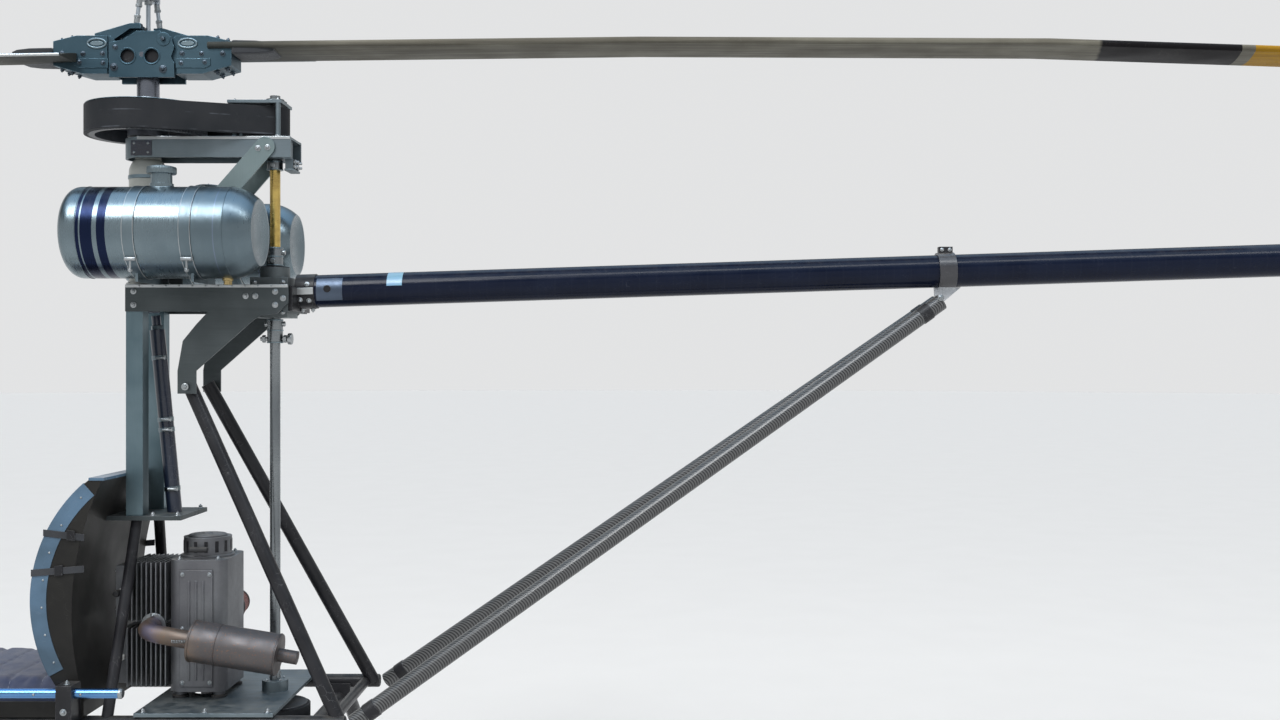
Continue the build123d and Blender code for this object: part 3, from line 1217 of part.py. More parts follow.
def tail_gearbox(boom: Part) -> Part:
    """The tail gearbox: a drum across the boom's end."""
    half, front = TAIL_BOX_LENGTH / 2, TAIL_ROTOR_X - TAIL_BOX_RADIUS - TAIL_BOX_NECK
    drum = across(TAIL_BOX_RADIUS, TAIL_ROTOR_X, TAIL_ROTOR_Z, -half, half)
    neck = rod((front, 0, boom_height(front)), (TAIL_ROTOR_X, 0, TAIL_ROTOR_Z), BOOM_RADIUS + TAIL_BOX_SLEEVE)
    bore = across(TAIL_SHAFT_RADIUS + RUNNING_FIT, TAIL_ROTOR_X, TAIL_ROTOR_Z, -WORKING_GAP, TAIL_BOX_LENGTH)
    return drum + neck - boom - bore


def vertical_fin() -> Part:
    """The swept fin above and below the boom, on the port side of the gearbox."""
    x, z = TAIL_ROTOR_X, TAIL_ROTOR_Z
    outline = (
        (x - FIN_ROOT_FRONT, z - FIN_ROOT_HALF), (x - FIN_ROOT_FRONT, z + FIN_ROOT_HALF),
        (x + FIN_TOP_FRONT, z + FIN_UP), (x + FIN_REACH, z + FIN_UP), (x + FIN_WAIST_X, z + FIN_WAIST_RISE),
        (x + FIN_FOOT_AFT, z - FIN_DOWN), (x + FIN_FOOT_FRONT, z - FIN_DOWN))
    y = -TAIL_BOX_LENGTH / 2
    return side_profile(outline, y - FIN_PLATE, y)


def tail_guard() -> Part:
    """The bent guard tube under the fin."""
    x, z = TAIL_ROTOR_X, TAIL_ROTOR_Z
    y = -TAIL_BOX_LENGTH / 2 - FIN_PLATE - GUARD_RADIUS
    points = ((x + GUARD_START_X, y, z - GUARD_START_DROP), (x + GUARD_BEND_X, y, z - GUARD_DROP),
              (x + GUARD_END_X, y, z - GUARD_DROP))
    return bent_rod(points, GUARD_BEND, GUARD_RADIUS)


def stabilizer(boom: Part) -> Part:
    """The horizontal stabilizer on the port side of the boom."""
    section = airfoil(STABILIZER_CHORD, STABILIZER_THICKNESS, STABILIZER_AXIS_SHARE)
    z = boom_height(STABILIZER_X)
    plane = Plane(origin=(STABILIZER_X, 0, z), x_dir=(-1, 0, 0), z_dir=(0, -1, 0))
    return extrude(plane * section, amount=STABILIZER_SPAN) - boom


def tail_rotor_hub() -> Part:
    """The tail rotor's shaft and hub."""
    x, y, z = TAIL_ROTOR_X, TAIL_ROTOR_Y, TAIL_ROTOR_Z
    inner, outer = y - TAIL_HUB_DEPTH, y + TAIL_HUB_DEPTH
    shaft = across(TAIL_SHAFT_RADIUS, x, z, 0, inner)
    hub = box((x - TAIL_HUB_HALF, x + TAIL_HUB_HALF), (inner, outer), (z - TAIL_HUB_REACH, z + TAIL_HUB_REACH))
    return shaft + hub + across(TAIL_CAP_RADIUS, x, z, outer, outer + TAIL_CAP_LENGTH)


def tail_blade() -> Part:
    """The upper tail rotor blade."""
    root = (TAIL_ROTOR_X, TAIL_ROTOR_Y, TAIL_ROTOR_Z + TAIL_HUB_REACH)
    plane = Plane(origin=root, x_dir=(1, 0, 0), z_dir=(0, 0, 1))
    section = Rot(0, 0, -TAIL_PITCH) * airfoil(TAIL_CHORD, TAIL_BLADE_THICKNESS, TAIL_AXIS_SHARE)
    return extrude(plane * section, amount=TAIL_ROTOR_RADIUS - TAIL_HUB_REACH)


def tail_blade_low() -> Part:
    """The lower tail rotor blade."""
    axis = Pos(TAIL_ROTOR_X, TAIL_ROTOR_Y, TAIL_ROTOR_Z)
    return axis * Rot(0, 180, 0) * axis.inverse() * tail_blade()


def pair(shape) -> list:
    """A starboard piece and its port twin."""
    return [mirror(shape, about=Plane.XZ), shape]


def helicopter() -> dict:
    """Every node of the helicopter by its name."""
    rails = both_rails()
    skids = both_skids()
    boom = tail_boom()
    half_turn = Rot(0, 0, 180)
    blade_aft = main_blade(AFT_HEIGHTS, AFT_PITCH)
    blade_front = main_blade(FRONT_HEIGHTS, FRONT_PITCH)
    crosses = frame_crosses(rails)
    nodes = {
        "rotor_shaft": rotor_shaft(),
        "big_sprocket": big_sprocket(),
        "hub_plates": pair(hub_plate() - teeter_pin()),
        "blade_aft": blade_aft,
        "blade_front": half_turn * blade_front,
        "blade_grips": [blade_grip(blade_aft), half_turn * blade_grip(blade_front)],
        "control_spider": control_spider() + pitch_link() + half_turn * pitch_link(),
        "drive_shaft": drive_shaft(),
        "small_sprocket": small_sprocket(),
        "main_belt": main_belt(),
        "mast_housing": mast_housing(),
        "top_beam": top_beam(),
        "top_plate": top_plate(),
        "diagonal_bars": pair(diagonal_bar()),
        "bevel_gearbox": bevel_gearbox(),
        "frame_plates": pair(frame_side_plate() - leg_pin()),
        "cross_plates": mid_beam_core() + [foot_plate()],
        "mast_posts": pair(mast_post()),
        "control_tube": control_tube(),
        "tank_cradle": tank_cradle(),
        "fuel_tank_left": mirror(fuel_tank(), about=Plane.XZ),
        "fuel_tank_right": fuel_tank(),
        "frame_legs": pair(lower_leg(rails)) + pair(rear_leg(rails) + leg_pin()),
        "side_rails": pair(side_rail()),
        "frame_crosses": crosses + [collective_bracket(rails)],
        "boom_struts": pair(boom_strut(rails)),
        "skid_left": mirror(skid(), about=Plane.XZ),
        "skid_right": skid(),
        "wheel_lug_left": mirror(wheel_lug(skids), about=Plane.XZ),
        "wheel_lug_right": wheel_lug(skids),
        "cross_tube_front": cross_tube(GEAR_FRONT_X, skids, rails),
        "cross_tube_rear": cross_tube(GEAR_AFT_X, skids, rails),
        "seat_back": seat_back(),
        "seat_pan": seat_pan(),
        "seat_cushion": seat_cushion(),
        "back_cushion": back_cushion(),
        "collective_lever": collective_lever() + collective_grip(),
        "cyclic_stick": cyclic_stick(crosses[1]) + cyclic_grip(),
        "pedals": pedals(rails),
        "instrument_pod": instrument_pod(),
        "instrument_post": instrument_post(crosses[0]),
        "engine_plate": engine_plate(),
        "crankcase": crankcase(),
        "cylinders": [cylinder(0), cylinder(1)],
        "carburettor": carburettor(),
        "exhaust": exhaust(),
        "primary_pulleys": [primary_pulley(CRANK_X, CRANK_PULLEY_RADIUS, 0),
                            primary_pulley(BELT_CENTRES, SHAFT_PULLEY_RADIUS, DRIVE_RADIUS + RUNNING_FIT)],
        "primary_belt": primary_belt(),
        "tail_boom": boom,
        "boom_collar": boom_collar(boom),
        "strut_bracket": strut_bracket(boom),
        "tail_gearbox": tail_gearbox(boom),
        "vertical_fin": vertical_fin(),
        "tail_guard": tail_guard(),
        "stabilizer": stabilizer(boom),
        "tail_rotor_hub": tail_rotor_hub(),
        "tail_blades": [tail_blade(), tail_blade_low()],
    }
    return nodes


def write_nodes() -> None:
    """Write one STEP file for each node, shifted to the shared origin."""
    os.makedirs("parts", exist_ok=True)
    shift = Pos(MAST_X, 0, 0)
    for name, shape in helicopter().items():
        pieces = shape if isinstance(shape, list) else [shape]
        solids = [shift * solid for piece in pieces for solid in piece.solids()]
        export_step(solids[0] if len(solids) == 1 else Compound(children=solids), f"parts/{name}.step")


write_nodes()
print(f"mast_x {MAST_X:.2f} tail rotor z {TAIL_ROTOR_Z:.2f}")
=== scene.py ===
"""Looks of an open-frame ultralight helicopter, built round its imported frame.

Forms are drawn in millimetres from the foot of the mast: X aft, Y to starboard, Z up.
"""
import logging
from dataclasses import dataclass
from enum import Enum
from itertools import product
from math import asin, copysign, cos, pi, radians, sin
from typing import Callable, ClassVar, Iterable, Mapping, Sequence

import bmesh
import bpy
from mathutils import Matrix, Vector
from mathutils.bvhtree import BVHTree


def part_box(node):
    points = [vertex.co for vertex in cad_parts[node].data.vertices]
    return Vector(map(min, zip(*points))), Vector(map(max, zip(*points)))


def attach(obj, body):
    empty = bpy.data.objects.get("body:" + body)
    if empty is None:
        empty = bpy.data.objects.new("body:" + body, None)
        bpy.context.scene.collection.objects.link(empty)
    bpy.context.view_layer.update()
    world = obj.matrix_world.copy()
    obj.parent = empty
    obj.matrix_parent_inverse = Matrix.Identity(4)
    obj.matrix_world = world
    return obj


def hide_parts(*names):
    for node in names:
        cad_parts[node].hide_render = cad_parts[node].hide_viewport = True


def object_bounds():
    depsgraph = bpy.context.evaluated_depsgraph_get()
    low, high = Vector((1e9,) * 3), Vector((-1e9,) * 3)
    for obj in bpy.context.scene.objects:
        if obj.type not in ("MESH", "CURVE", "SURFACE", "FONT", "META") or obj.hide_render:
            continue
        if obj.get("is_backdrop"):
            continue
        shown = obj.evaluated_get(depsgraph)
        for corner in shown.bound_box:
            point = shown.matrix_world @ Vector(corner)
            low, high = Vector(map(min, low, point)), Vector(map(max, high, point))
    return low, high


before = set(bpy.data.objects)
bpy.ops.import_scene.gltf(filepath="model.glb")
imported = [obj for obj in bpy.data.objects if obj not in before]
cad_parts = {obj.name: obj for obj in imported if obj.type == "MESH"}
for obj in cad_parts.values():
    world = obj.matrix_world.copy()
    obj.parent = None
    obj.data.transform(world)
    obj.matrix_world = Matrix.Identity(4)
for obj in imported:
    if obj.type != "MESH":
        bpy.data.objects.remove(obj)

Point = Sequence[float]
Pair = tuple[float, float]
Colour = tuple[float, float, float]
Socket = bpy.types.NodeSocket
Outputs = bpy.types.NodeOutputs
Looks = Mapping[str, object]
Thing = bpy.types.Object

LOG = logging.getLogger("helicopter")
NODES: Mapping[str, Thing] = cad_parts
MAST_X: float = 500 * sum(corner.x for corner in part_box("rotor_shaft"))
SIDES = (-1, 1)


class Body(Enum):
    """The bodies that pieces ride on."""

    AIRFRAME = "airframe"
    ROTOR = "main_rotor"
    DRIVE = "drive_line"
    TAIL = "tail_rotor"


class Axis(Enum):
    """Directions along the machine."""

    AFT = (1, 0, 0)
    STARBOARD = (0, 1, 0)
    PORT = (0, -1, 0)
    UP = (0, 0, 1)
    DOWN = (0, 0, -1)
    FORWARD = (-1, 0, 0)


class Grain(Enum):
    """How fine marks run over a metal: the noise's scale along X, Y and Z."""

    DRAWN_FORE_AFT = (0.03, 1, 1)
    DRAWN_UPRIGHT = (1, 1, 0.03)
    DRAWN_ACROSS = (1, 0.03, 1)
    TURNED_FORE_AFT = (1, 0.05, 0.05)
    TURNED_UPRIGHT = (0.05, 0.05, 1)
    EVEN = (1, 1, 1)


def across(side: int) -> Axis:
    """The outward direction of a side."""
    return Axis.STARBOARD if side > 0 else Axis.PORT


def turns(count: int, shift: float = 0) -> list[float]:
    """Even angles round a full turn."""
    return [2 * pi * (step + shift) / count for step in range(count)]


def circle(radius: float, count: int, shift: float = 0) -> list[Pair]:
    """Even points round a circle."""
    return [(radius * cos(turn), radius * sin(turn)) for turn in turns(count, shift)]


def both(value: float) -> Pair:
    """A distance to either side."""
    return -value, value


def within(value: float, most: float) -> float:
    """A value kept between a limit and its opposite."""
    return max(-most, min(most, value))


def spot(point: Point) -> Vector:
    """A mast point in millimetres as a point of the shared frame in metres."""
    return Vector((MAST_X + point[0], point[1], point[2])) / 1000


class Form:
    """The growing mesh of one piece, in millimetres from the foot of the mast."""

    crease: ClassVar[float] = 0.6

    def __init__(self) -> None:
        """Start with no faces."""
        self.mesh = bmesh.new()

    def skin(self, rings: Sequence[Sequence[Point]], closed: bool = False) -> "Form":
        """Join rings of equal count with faces.

        Args:
            rings: Rows of points, in order.
            closed: Whether the last ring joins the first; otherwise the ends are filled.

        Returns:
            The form itself.
        """
        rows = [[self.mesh.verts.new(point) for point in ring] for ring in rings]
        for low, high in zip(rows, rows[1:] + (rows[:1] if closed else [])):
            for index in range(len(low)):
                after = (index + 1) % len(low)
                self.mesh.faces.new((low[index], low[after], high[after], high[index]))
        if not closed:
            self.mesh.faces.new(tuple(reversed(rows[0])))
            self.mesh.faces.new(rows[-1])
        return self

    def turned(self, profile: Iterable[Pair], base: Point, axis: Axis | Point, steps: int = 28,
               closed: bool = False) -> "Form":
        """Turn a profile about an axis.

        Args:
            profile: Radius and height pairs.
            base: Point that the heights start from.
            axis: Direction of the heights.
            steps: Number of sides.
            closed: Whether the profile is a closed ring, such as a washer's.

        Returns:
            The form itself.
        """
        way = Vector(axis.value if isinstance(axis, Axis) else axis).normalized()
        side = Vector((0, 0, 1)) if abs(way.z) < 0.9 else Vector((1, 0, 0))
        side = (side - way * side.dot(way)).normalized()
        other = way.cross(side)
        spokes = [side * u + other * v for u, v in circle(1, steps)]
        return self.skin([[Vector(base) + way * height + spoke * radius for spoke in spokes]
                          for radius, height in profile], closed)

    def bolt(self, base: Point, axis: Axis | Point, size: float, washer: bool = True) -> "Form":
        """A hexagon head with its washer.

        Args:
            base: Point on the surface under the head.
            axis: Direction that the head points in.
            size: Width across the flats.
            washer: Whether a washer lies under it.

        Returns:
            The form itself.
        """
        lift = 0.16 * size if washer else 0
        if washer:
            self.turned(((size * 0.92, -0.3), (size * 0.92, lift * 0.8), (size * 0.86, lift)), base, axis, 24)
        for wide, narrow, low, high, top, steps in ((0.58, 0.5, -0.2, 0.48, 0.6, 6), (0.26, 0.2, 0, 0.85, 0.92, 12)):
            self.turned(((wide * size, lift + low), (wide * size, lift + high * size),
                         (narrow * size, lift + top * size)), base, axis, steps)
        return self

    def bolts(self, points: Iterable[Point], axis: Axis | Point, size: float, washer: bool = True) -> "Form":
        """Hexagon heads at several points."""
        for point in points:
            self.bolt(point, axis, size, washer)
        return self

    def side_bolts(self, y: float, size: float, *places: Pair) -> "Form":
        """Hexagon heads that face outward on both sides, at pairs of X and Z."""
        for side in SIDES:
            self.bolts([(x, side * y, z) for x, z in places], across(side), size)
        return self

    def button(self, base: Point, axis: Axis | Point, radius: float) -> "Form":
        """A domed rivet or screw head."""
        dome = ((radius, -0.3), (radius, 0.22 * radius), (0.82 * radius, 0.5 * radius), (0.4 * radius, 0.7 * radius))
        return self.turned(dome, base, axis, 14)

    def block(self, low: Point, high: Point) -> "Form":
        """A bar between two opposite corners."""
        (x0, x1), (y0, y1), (z0, z1) = (sorted(pair) for pair in zip(low, high))
        return self.skin([[(x0, y0, z), (x1, y0, z), (x1, y1, z), (x0, y1, z)] for z in (z0, z1)])

    def plate(self, outline: Iterable[Pair], face: float, thickness: float, rise: float = 0) -> "Form":
        """An upright plate along the machine.

        Args:
            outline: Corners as pairs of X and Z.
            face: Y that it starts from.
            thickness: Thickness to starboard, or to port when negative.
            rise: Height that the outline is measured from.

        Returns:
            The form itself.
        """
        corners = [(x, rise + z) for x, z in outline]
        return self.skin([[(x, y, z) for x, z in corners] for y in (face, face + thickness)])

    def swept(self, path: Sequence[Point], section: Sequence[Pair], up: Point, closed: bool = False) -> "Form":
        """Carry a section along a path.

        Args:
            path: Points of the path.
            section: Corner pairs, across and towards up.
            up: Direction that steers the section.
            closed: Whether the path is a ring.

        Returns:
            The form itself.
        """
        points = [Vector(point) for point in path]
        rings = []
        for index, point in enumerate(points):
            before = points[index - 1] if index or closed else point
            after = points[(index + 1) % len(points)] if index + 1 < len(points) or closed else point
            way = (after - before).normalized()
            lift = (Vector(up) - way * Vector(up).dot(way)).normalized()
            rings.append([point + lift.cross(way) * u + lift * v for u, v in section])
        return self.skin(rings, closed)

    def tube(self, path: Sequence[Point], radius: float, up: Point = (0.1, 0.2, 1), steps: int = 14,
             closed: bool = False) -> "Form":
        """A round bar along a path."""
        return self.swept(path, circle(radius, steps), up, closed)

    def placed(self, name: str) -> Thing:
        """Turn the form into an object of the shared frame."""
        bmesh.ops.recalc_face_normals(self.mesh, faces=self.mesh.faces)
        for face in self.mesh.faces:
            face.smooth = True
        for edge in self.mesh.edges:
            edge.smooth = len(edge.link_faces) != 2 or edge.calc_face_angle(0) < self.crease
        for vertex in self.mesh.verts:
            vertex.co = spot(vertex.co)
        data = bpy.data.meshes.new(name)
        self.mesh.to_mesh(data)
        self.mesh.free()
        made = bpy.data.objects.new(name, data)
        bpy.context.scene.collection.objects.link(made)
        return made


class Graph:
    """A node tree with short calls for adding and joining its nodes."""

    def __init__(self, tree: bpy.types.NodeTree) -> None:
        """Empty the tree and keep it."""
        self.tree = tree
        tree.nodes.clear()

    def node(self, kind: str, inputs: Mapping | None = None, **settings: object) -> bpy.types.Node:
        """Add one node.

        Args:
            kind: Its type, without the leading ShaderNode.
            inputs: Values or sockets by input name or number.
            settings: Properties of the node.

        Returns:
            The new node.
        """
        made = self.tree.nodes.new(f"ShaderNode{kind}")
        for name, value in settings.items():
            setattr(made, name, value)
        for key, value in (inputs or {}).items():
            if isinstance(value, Socket):
                self.tree.links.new(value, made.inputs[key])
            else:
                made.inputs[key].default_value = value
        return made

    def math(self, operation: str, first: object, second: object = 0.5, clamp: bool = False) -> Socket:
        """One step of arithmetic on two values or sockets."""
        return self.node("Math", {0: first, 1: second}, operation=operation, use_clamp=clamp).outputs[0]

    def plus(self, first: object, second: object, clamp: bool = False) -> Socket:
        """The sum of two values or sockets."""
        return self.math("ADD", first, second, clamp)

    def times(self, first: object, second: object, clamp: bool = False) -> Socket:
        """The product of two values or sockets."""
        return self.math("MULTIPLY", first, second, clamp)

    def less(self, first: object, second: object) -> Socket:
        """The first value or socket without the second."""
        return self.math("SUBTRACT", first, second)

    def inside(self, place: Socket, low: float, high: float) -> Socket:
        """A mask of the places in metres that lie between two limits in millimetres."""
        return self.times(self.math("GREATER_THAN", place, low / 1000), self.math("LESS_THAN", place, high / 1000))

    def vector(self, operation: str, first: object, second: object) -> Outputs:
        """The outputs of one step of vector arithmetic."""
        return self.node("VectorMath", {0: first, 1: second}, operation=operation).outputs

    def axes(self, vector: Socket) -> Outputs:
        """The three parts of a vector."""
        return self.node("SeparateXYZ", {0: vector}).outputs

    def mix(self, mask: object, low: object, high: object) -> Socket:
        """Blend two colours by a mask."""
        first, second = ((*side, 1) if isinstance(side, tuple) else side for side in (low, high))
        return self.node("Mix", {0: mask, 6: first, 7: second}, data_type="RGBA").outputs[2]

    def spread(self, value: object, span: Pair = (0, 1), to: Pair = (0, 1)) -> Socket:
        """Map a span of values onto another, clamped."""
        return self.node("MapRange", {0: value, 1: span[0], 2: span[1], 3: to[0], 4: to[1]}).outputs[0]

    def noise(self, vector: object, scale: object, detail: float = 3) -> Socket:
        """Plain noise over a position."""
        return self.node("TexNoise", {"Vector": vector, "Scale": scale, "Detail": detail}).outputs[0]

    def bump(self, strength: float, distance: float, height: Socket, **normal: Socket) -> Socket:
        """Relief of a height, over another normal where one is given."""
        return self.node("Bump", {"Strength": strength, "Distance": distance, "Height": height, **normal}).outputs[0]

    def group(self, tree: bpy.types.NodeTree, **inputs: object) -> Outputs:
        """The outputs of a shared effect with its own values."""
        return self.node("Group", inputs, node_tree=tree).outputs


class Effects:
    """Effects that several finishes share, each one a node group."""

    def __init__(self) -> None:
        """Build every effect once."""
        where = {"Position": (0, 0, 0)}
        self.edges = self.make("edge_rub", {"Width": 0.0012, "Amount": 1}, self.edge_rub)
        self.grain = self.make("metal_grain", {**where, "Stretch": (1, 1, 1), "Scale": 900}, self.metal_grain)
        self.stain = self.make("stain", {**where, "Scale": 6}, self.stains)
        self.dust = self.make("dust", {**where, "Amount": 0.3}, self.dusting)
        self.weave = self.make("weave", {**where, "Pitch": 0.002}, self.weaving)

    def make(self, name: str, inputs: Looks, recipe: Callable[[Graph, Outputs], Looks]) -> bpy.types.NodeTree:
        """Make one effect.

        Args:
            name: Name of the effect.
            inputs: Default of each input: a number, or a tuple for a vector.
            recipe: Adds the nodes and names the outputs; Normal is a vector, any other a number.

        Returns:
            The group's tree.
        """
        tree = bpy.data.node_groups.new(name, "ShaderNodeTree")
        graph = Graph(tree)
        for label, value in inputs.items():
            kind = "Vector" if isinstance(value, tuple) else "Float"
            socket = tree.interface.new_socket(name=label, in_out="INPUT", socket_type=f"NodeSocket{kind}")
            socket.default_value = value
        made = recipe(graph, tree.nodes.new("NodeGroupInput").outputs)
        for label in made:
            kind = "Vector" if label == "Normal" else "Float"
            tree.interface.new_socket(name=label, in_out="OUTPUT", socket_type=f"NodeSocket{kind}")
        result = tree.nodes.new("NodeGroupOutput")
        for label, socket in made.items():
            tree.links.new(socket, result.inputs[label])
        return tree

    def edge_rub(self, graph: Graph, given: Outputs) -> Looks:
        """Rounded edges, and a mask of where they are rubbed."""
        round_edge = graph.node("Bevel", {"Radius": given["Width"]}, samples=4).outputs[0]
        near = graph.node("Bevel", {"Radius": graph.times(given["Width"], 1.6)}, samples=4).outputs[0]
        geometry = graph.node("NewGeometry").outputs
        match = graph.vector("DOT_PRODUCT", near, geometry["Normal"])["Value"]
        patch = graph.noise(geometry["Position"], 90, 5)
        rub = graph.times(graph.spread(graph.less(1, match), (0.02, 0.2)), graph.spread(patch, (0.42, 0.62), (0.1, 1)))
        return {"Mask": graph.times(rub, given["Amount"], True), "Normal": round_edge}

    def metal_grain(self, graph: Graph, given: Outputs) -> Looks:
        """Fine drawn or turned marks in a metal, and scattered scratches."""
        place = given["Position"]
        along = graph.vector("MULTIPLY", place, given["Stretch"])[0]
        fine = graph.noise(along, given["Scale"], 4)
        broad = graph.noise(along, graph.times(given["Scale"], 0.17), 2)
        wander = graph.node("TexNoise", {"Vector": place, "Scale": 7, "Detail": 1}).outputs[1]
        bent = graph.vector("ADD", place, wander)[0]
        cells = graph.node("TexVoronoi", {"Vector": bent, "Scale": 26}, feature="DISTANCE_TO_EDGE").outputs[0]
        gate = graph.spread(graph.noise(place, 31), (0.52, 0.6))
        return {"Marks": graph.plus(graph.times(fine, 0.6), graph.times(broad, 0.4)),
                "Scratches": graph.times(graph.spread(cells, (0, 0.012), (1, 0)), gate)}

    def stains(self, graph: Graph, given: Outputs) -> Looks:
        """Slow patches of tone, and small spots."""
        slow = graph.noise(given["Position"], given["Scale"], 6)
        small = graph.noise(given["Position"], graph.times(given["Scale"], 14))
        return {"Patches": graph.spread(slow, (0.35, 0.65)), "Spots": graph.spread(small, (0.58, 0.72))}

    def dusting(self, graph: Graph, given: Outputs) -> Looks:
        """Dust on upward faces and splashes near the ground."""
        lying = graph.spread(graph.axes(graph.node("NewGeometry").outputs["Normal"])[2], (0.35, 1))
        splash = graph.spread(graph.axes(given["Position"])[2], (0, 0.45), (0.9, 0))
        patch = graph.spread(graph.noise(given["Position"], 38, 7), (0.36, 0.66), (0.15, 1))
        whole = graph.times(graph.math("MAXIMUM", lying, splash), patch)
        return {"Mask": graph.times(whole, given["Amount"], True)}

    def weaving(self, graph: Graph, given: Outputs) -> Looks:
        """Crossing threads, as a height and a mask of one thread direction."""
        rate = graph.math("DIVIDE", 2 * pi, given["Pitch"])
        x, y, z = graph.axes(given["Position"])
        flat, steep = (graph.times(graph.plus(part, graph.times(y, 0.7)), rate) for part in (x, z))
        crossed = graph.times(graph.math("SINE", flat), graph.math("SINE", steep))
        twill = graph.math("SINE", graph.plus(flat, steep))
        return {"Height": graph.plus(graph.times(crossed, 0.5), 0.5), "Mask": graph.spread(twill, (-0.4, 0.4))}


@dataclass(frozen=True)
class Finish:
    """A surface finish: its name and the record's slot."""

    name: str
    slot: str
    dirt: ClassVar[Colour] = (0.36, 0.33, 0.28)

    def build(self, effects: Effects) -> bpy.types.Material:
        """Make the material from the shared effects."""
        material = bpy.data.materials.new(self.name)
        material.use_nodes = True
        graph = Graph(material.node_tree)
        position = graph.node("TexCoord").outputs["Object"]
        shader = graph.node("BsdfPrincipled", self.looks(graph, position, effects))
        graph.node("OutputMaterial", {"Surface": shader.outputs[0]})
        return material

    def looks(self, graph: Graph, position: Socket, effects: Effects) -> Looks:
        """What feeds the shader.

        Args:
            graph: The material's graph.
            position: The object position.
            effects: The shared effects.

        Returns:
            Sockets and constants by the name of the shader's input.
        """
        raise NotImplementedError

    def tone(self, graph: Graph, position: Socket, colour: Socket) -> Socket:
        """The colour after any marks of its own: none on a plain finish."""
        return colour


@dataclass(frozen=True)
class Metal(Finish):
    """Bare metal with its working marks, stains, rubbed edges and dust; the rubbed edges are lightened partly by wear
    and partly as a painted highlight.
    """

    colour: Colour
    shade: Colour
    roughness: float = 0.34
    grain: Grain = Grain.EVEN
    scale: float = 900
    depth: float = 0.12
    metallic: float = 1
    dust: float = 0.2
    rub: float = 0.5
    # How much lighter rubbed edges get: partly worn metal, partly a painted highlight where edges catch light.
    edge: float = 1.3

    def looks(self, graph: Graph, position: Socket, effects: Effects) -> Looks:
        """What feeds the shader."""
        marks = graph.group(effects.grain, Position=position, Stretch=self.grain.value, Scale=self.scale)
        patches = graph.group(effects.stain, Position=position)["Patches"]
        edges = graph.group(effects.edges, Amount=self.rub)
        dust = graph.group(effects.dust, Position=position, Amount=self.dust)[0]
        colour = graph.mix(patches, self.colour, self.shade)
        colour = graph.mix(graph.times(marks["Marks"], 0.35), colour, self.shade)
        # Lighter edge colour: rubbed metal, and also a painted edge highlight.
        bright = tuple(min(1, part * self.edge) for part in self.colour)
        colour = graph.mix(edges["Mask"], self.tone(graph, position, colour), bright)
        rough = graph.spread(marks["Marks"], (0.3, 0.7), (self.roughness - 0.07, self.roughness + 0.09))
        rough = graph.plus(rough, graph.times(patches, 0.08))
        height = graph.less(marks["Marks"], marks["Scratches"])
        return {"Base Color": graph.mix(dust, colour, self.dirt),
                "Roughness": graph.plus(rough, graph.times(dust, 0.5), True),
                "Metallic": graph.times(graph.less(1, dust), self.metallic),
                "Normal": graph.bump(self.depth, 0.0004, height, Normal=edges["Normal"])}


@dataclass(frozen=True)
class TankMetal(Metal):
    """Spun aluminium with dark bands near the front and a pale seam."""

    bands: tuple[Pair, ...] = ((-63, -55.5), (-52.5, -27), (-17, 1.5))
    seam: Pair = (231.8, 234.2)

    def tone(self, graph: Graph, position: Socket, colour: Socket) -> Socket:
        """Lay the bands and the seam along the tank."""
        along = graph.axes(position)[0]
        for (low, high), mark in (*((band, (0.012, 0.018, 0.045)) for band in self.bands),
                                  (self.seam, (0.16, 0.2, 0.26))):
            colour = graph.mix(graph.inside(along, MAST_X + low, MAST_X + high), colour, mark)
        return colour


@dataclass(frozen=True)
class DriveMetal(Metal):
    """Plated shaft steel: gold over the long run, plain at the joints and below them."""

    gold: Pair = (1660.5, 1839.5)

    def tone(self, graph: Graph, position: Socket, colour: Socket) -> Socket:
        """Lay the gold over the span between the upper joints."""
        streak = graph.spread(graph.noise(position, 46), (0.35, 0.65))
        return graph.mix(graph.inside(graph.axes(position)[2], *self.gold), colour,
                         graph.mix(streak, (0.62, 0.45, 0.14), (0.44, 0.31, 0.1)))


@dataclass(frozen=True)
class Paint(Finish):
    """Paint, anodising or moulded skin that chips to the metal under it."""

    colour: Colour = (0.03, 0.03, 0.035)
    shade: Colour = (0.05, 0.05, 0.055)
    under: Colour = (0.5, 0.5, 0.52)
    roughness: float = 0.35
    coat: float = 0.2
    peel: float = 0.06
    peel_scale: float = 420
    rub: float = 0.5
    dust: float = 0.25
    gloss: float = 0.5

    def looks(self, graph: Graph, position: Socket, effects: Effects) -> Looks:
        """What feeds the shader."""
        stain = graph.group(effects.stain, Position=position, Scale=9)
        edges = graph.group(effects.edges, Amount=self.rub)
        dust = graph.group(effects.dust, Position=position, Amount=self.dust)[0]
        scratch = graph.group(effects.grain, Position=position, Scale=self.peel_scale)
        colour = self.tone(graph, position, graph.mix(stain["Patches"], self.colour, self.shade))
        bare = graph.times(edges["Mask"], graph.spread(stain["Spots"], to=(0.45, 1)))
        for mask in (bare, graph.times(scratch["Scratches"], 0.25)):
            colour = graph.mix(mask, colour, self.under)
        rough = graph.spread(stain["Patches"], to=(self.roughness - 0.05, self.roughness + 0.07))
        return {"Base Color": graph.mix(dust, colour, self.dirt),
                "Roughness": graph.plus(rough, graph.times(dust, 0.45), True), "Metallic": bare,
                "Normal": graph.bump(self.peel, 0.0005, scratch["Marks"], Normal=edges["Normal"]),
                "Coat Weight": self.coat, "Coat Roughness": 0.12, "Specular IOR Level": self.gloss}


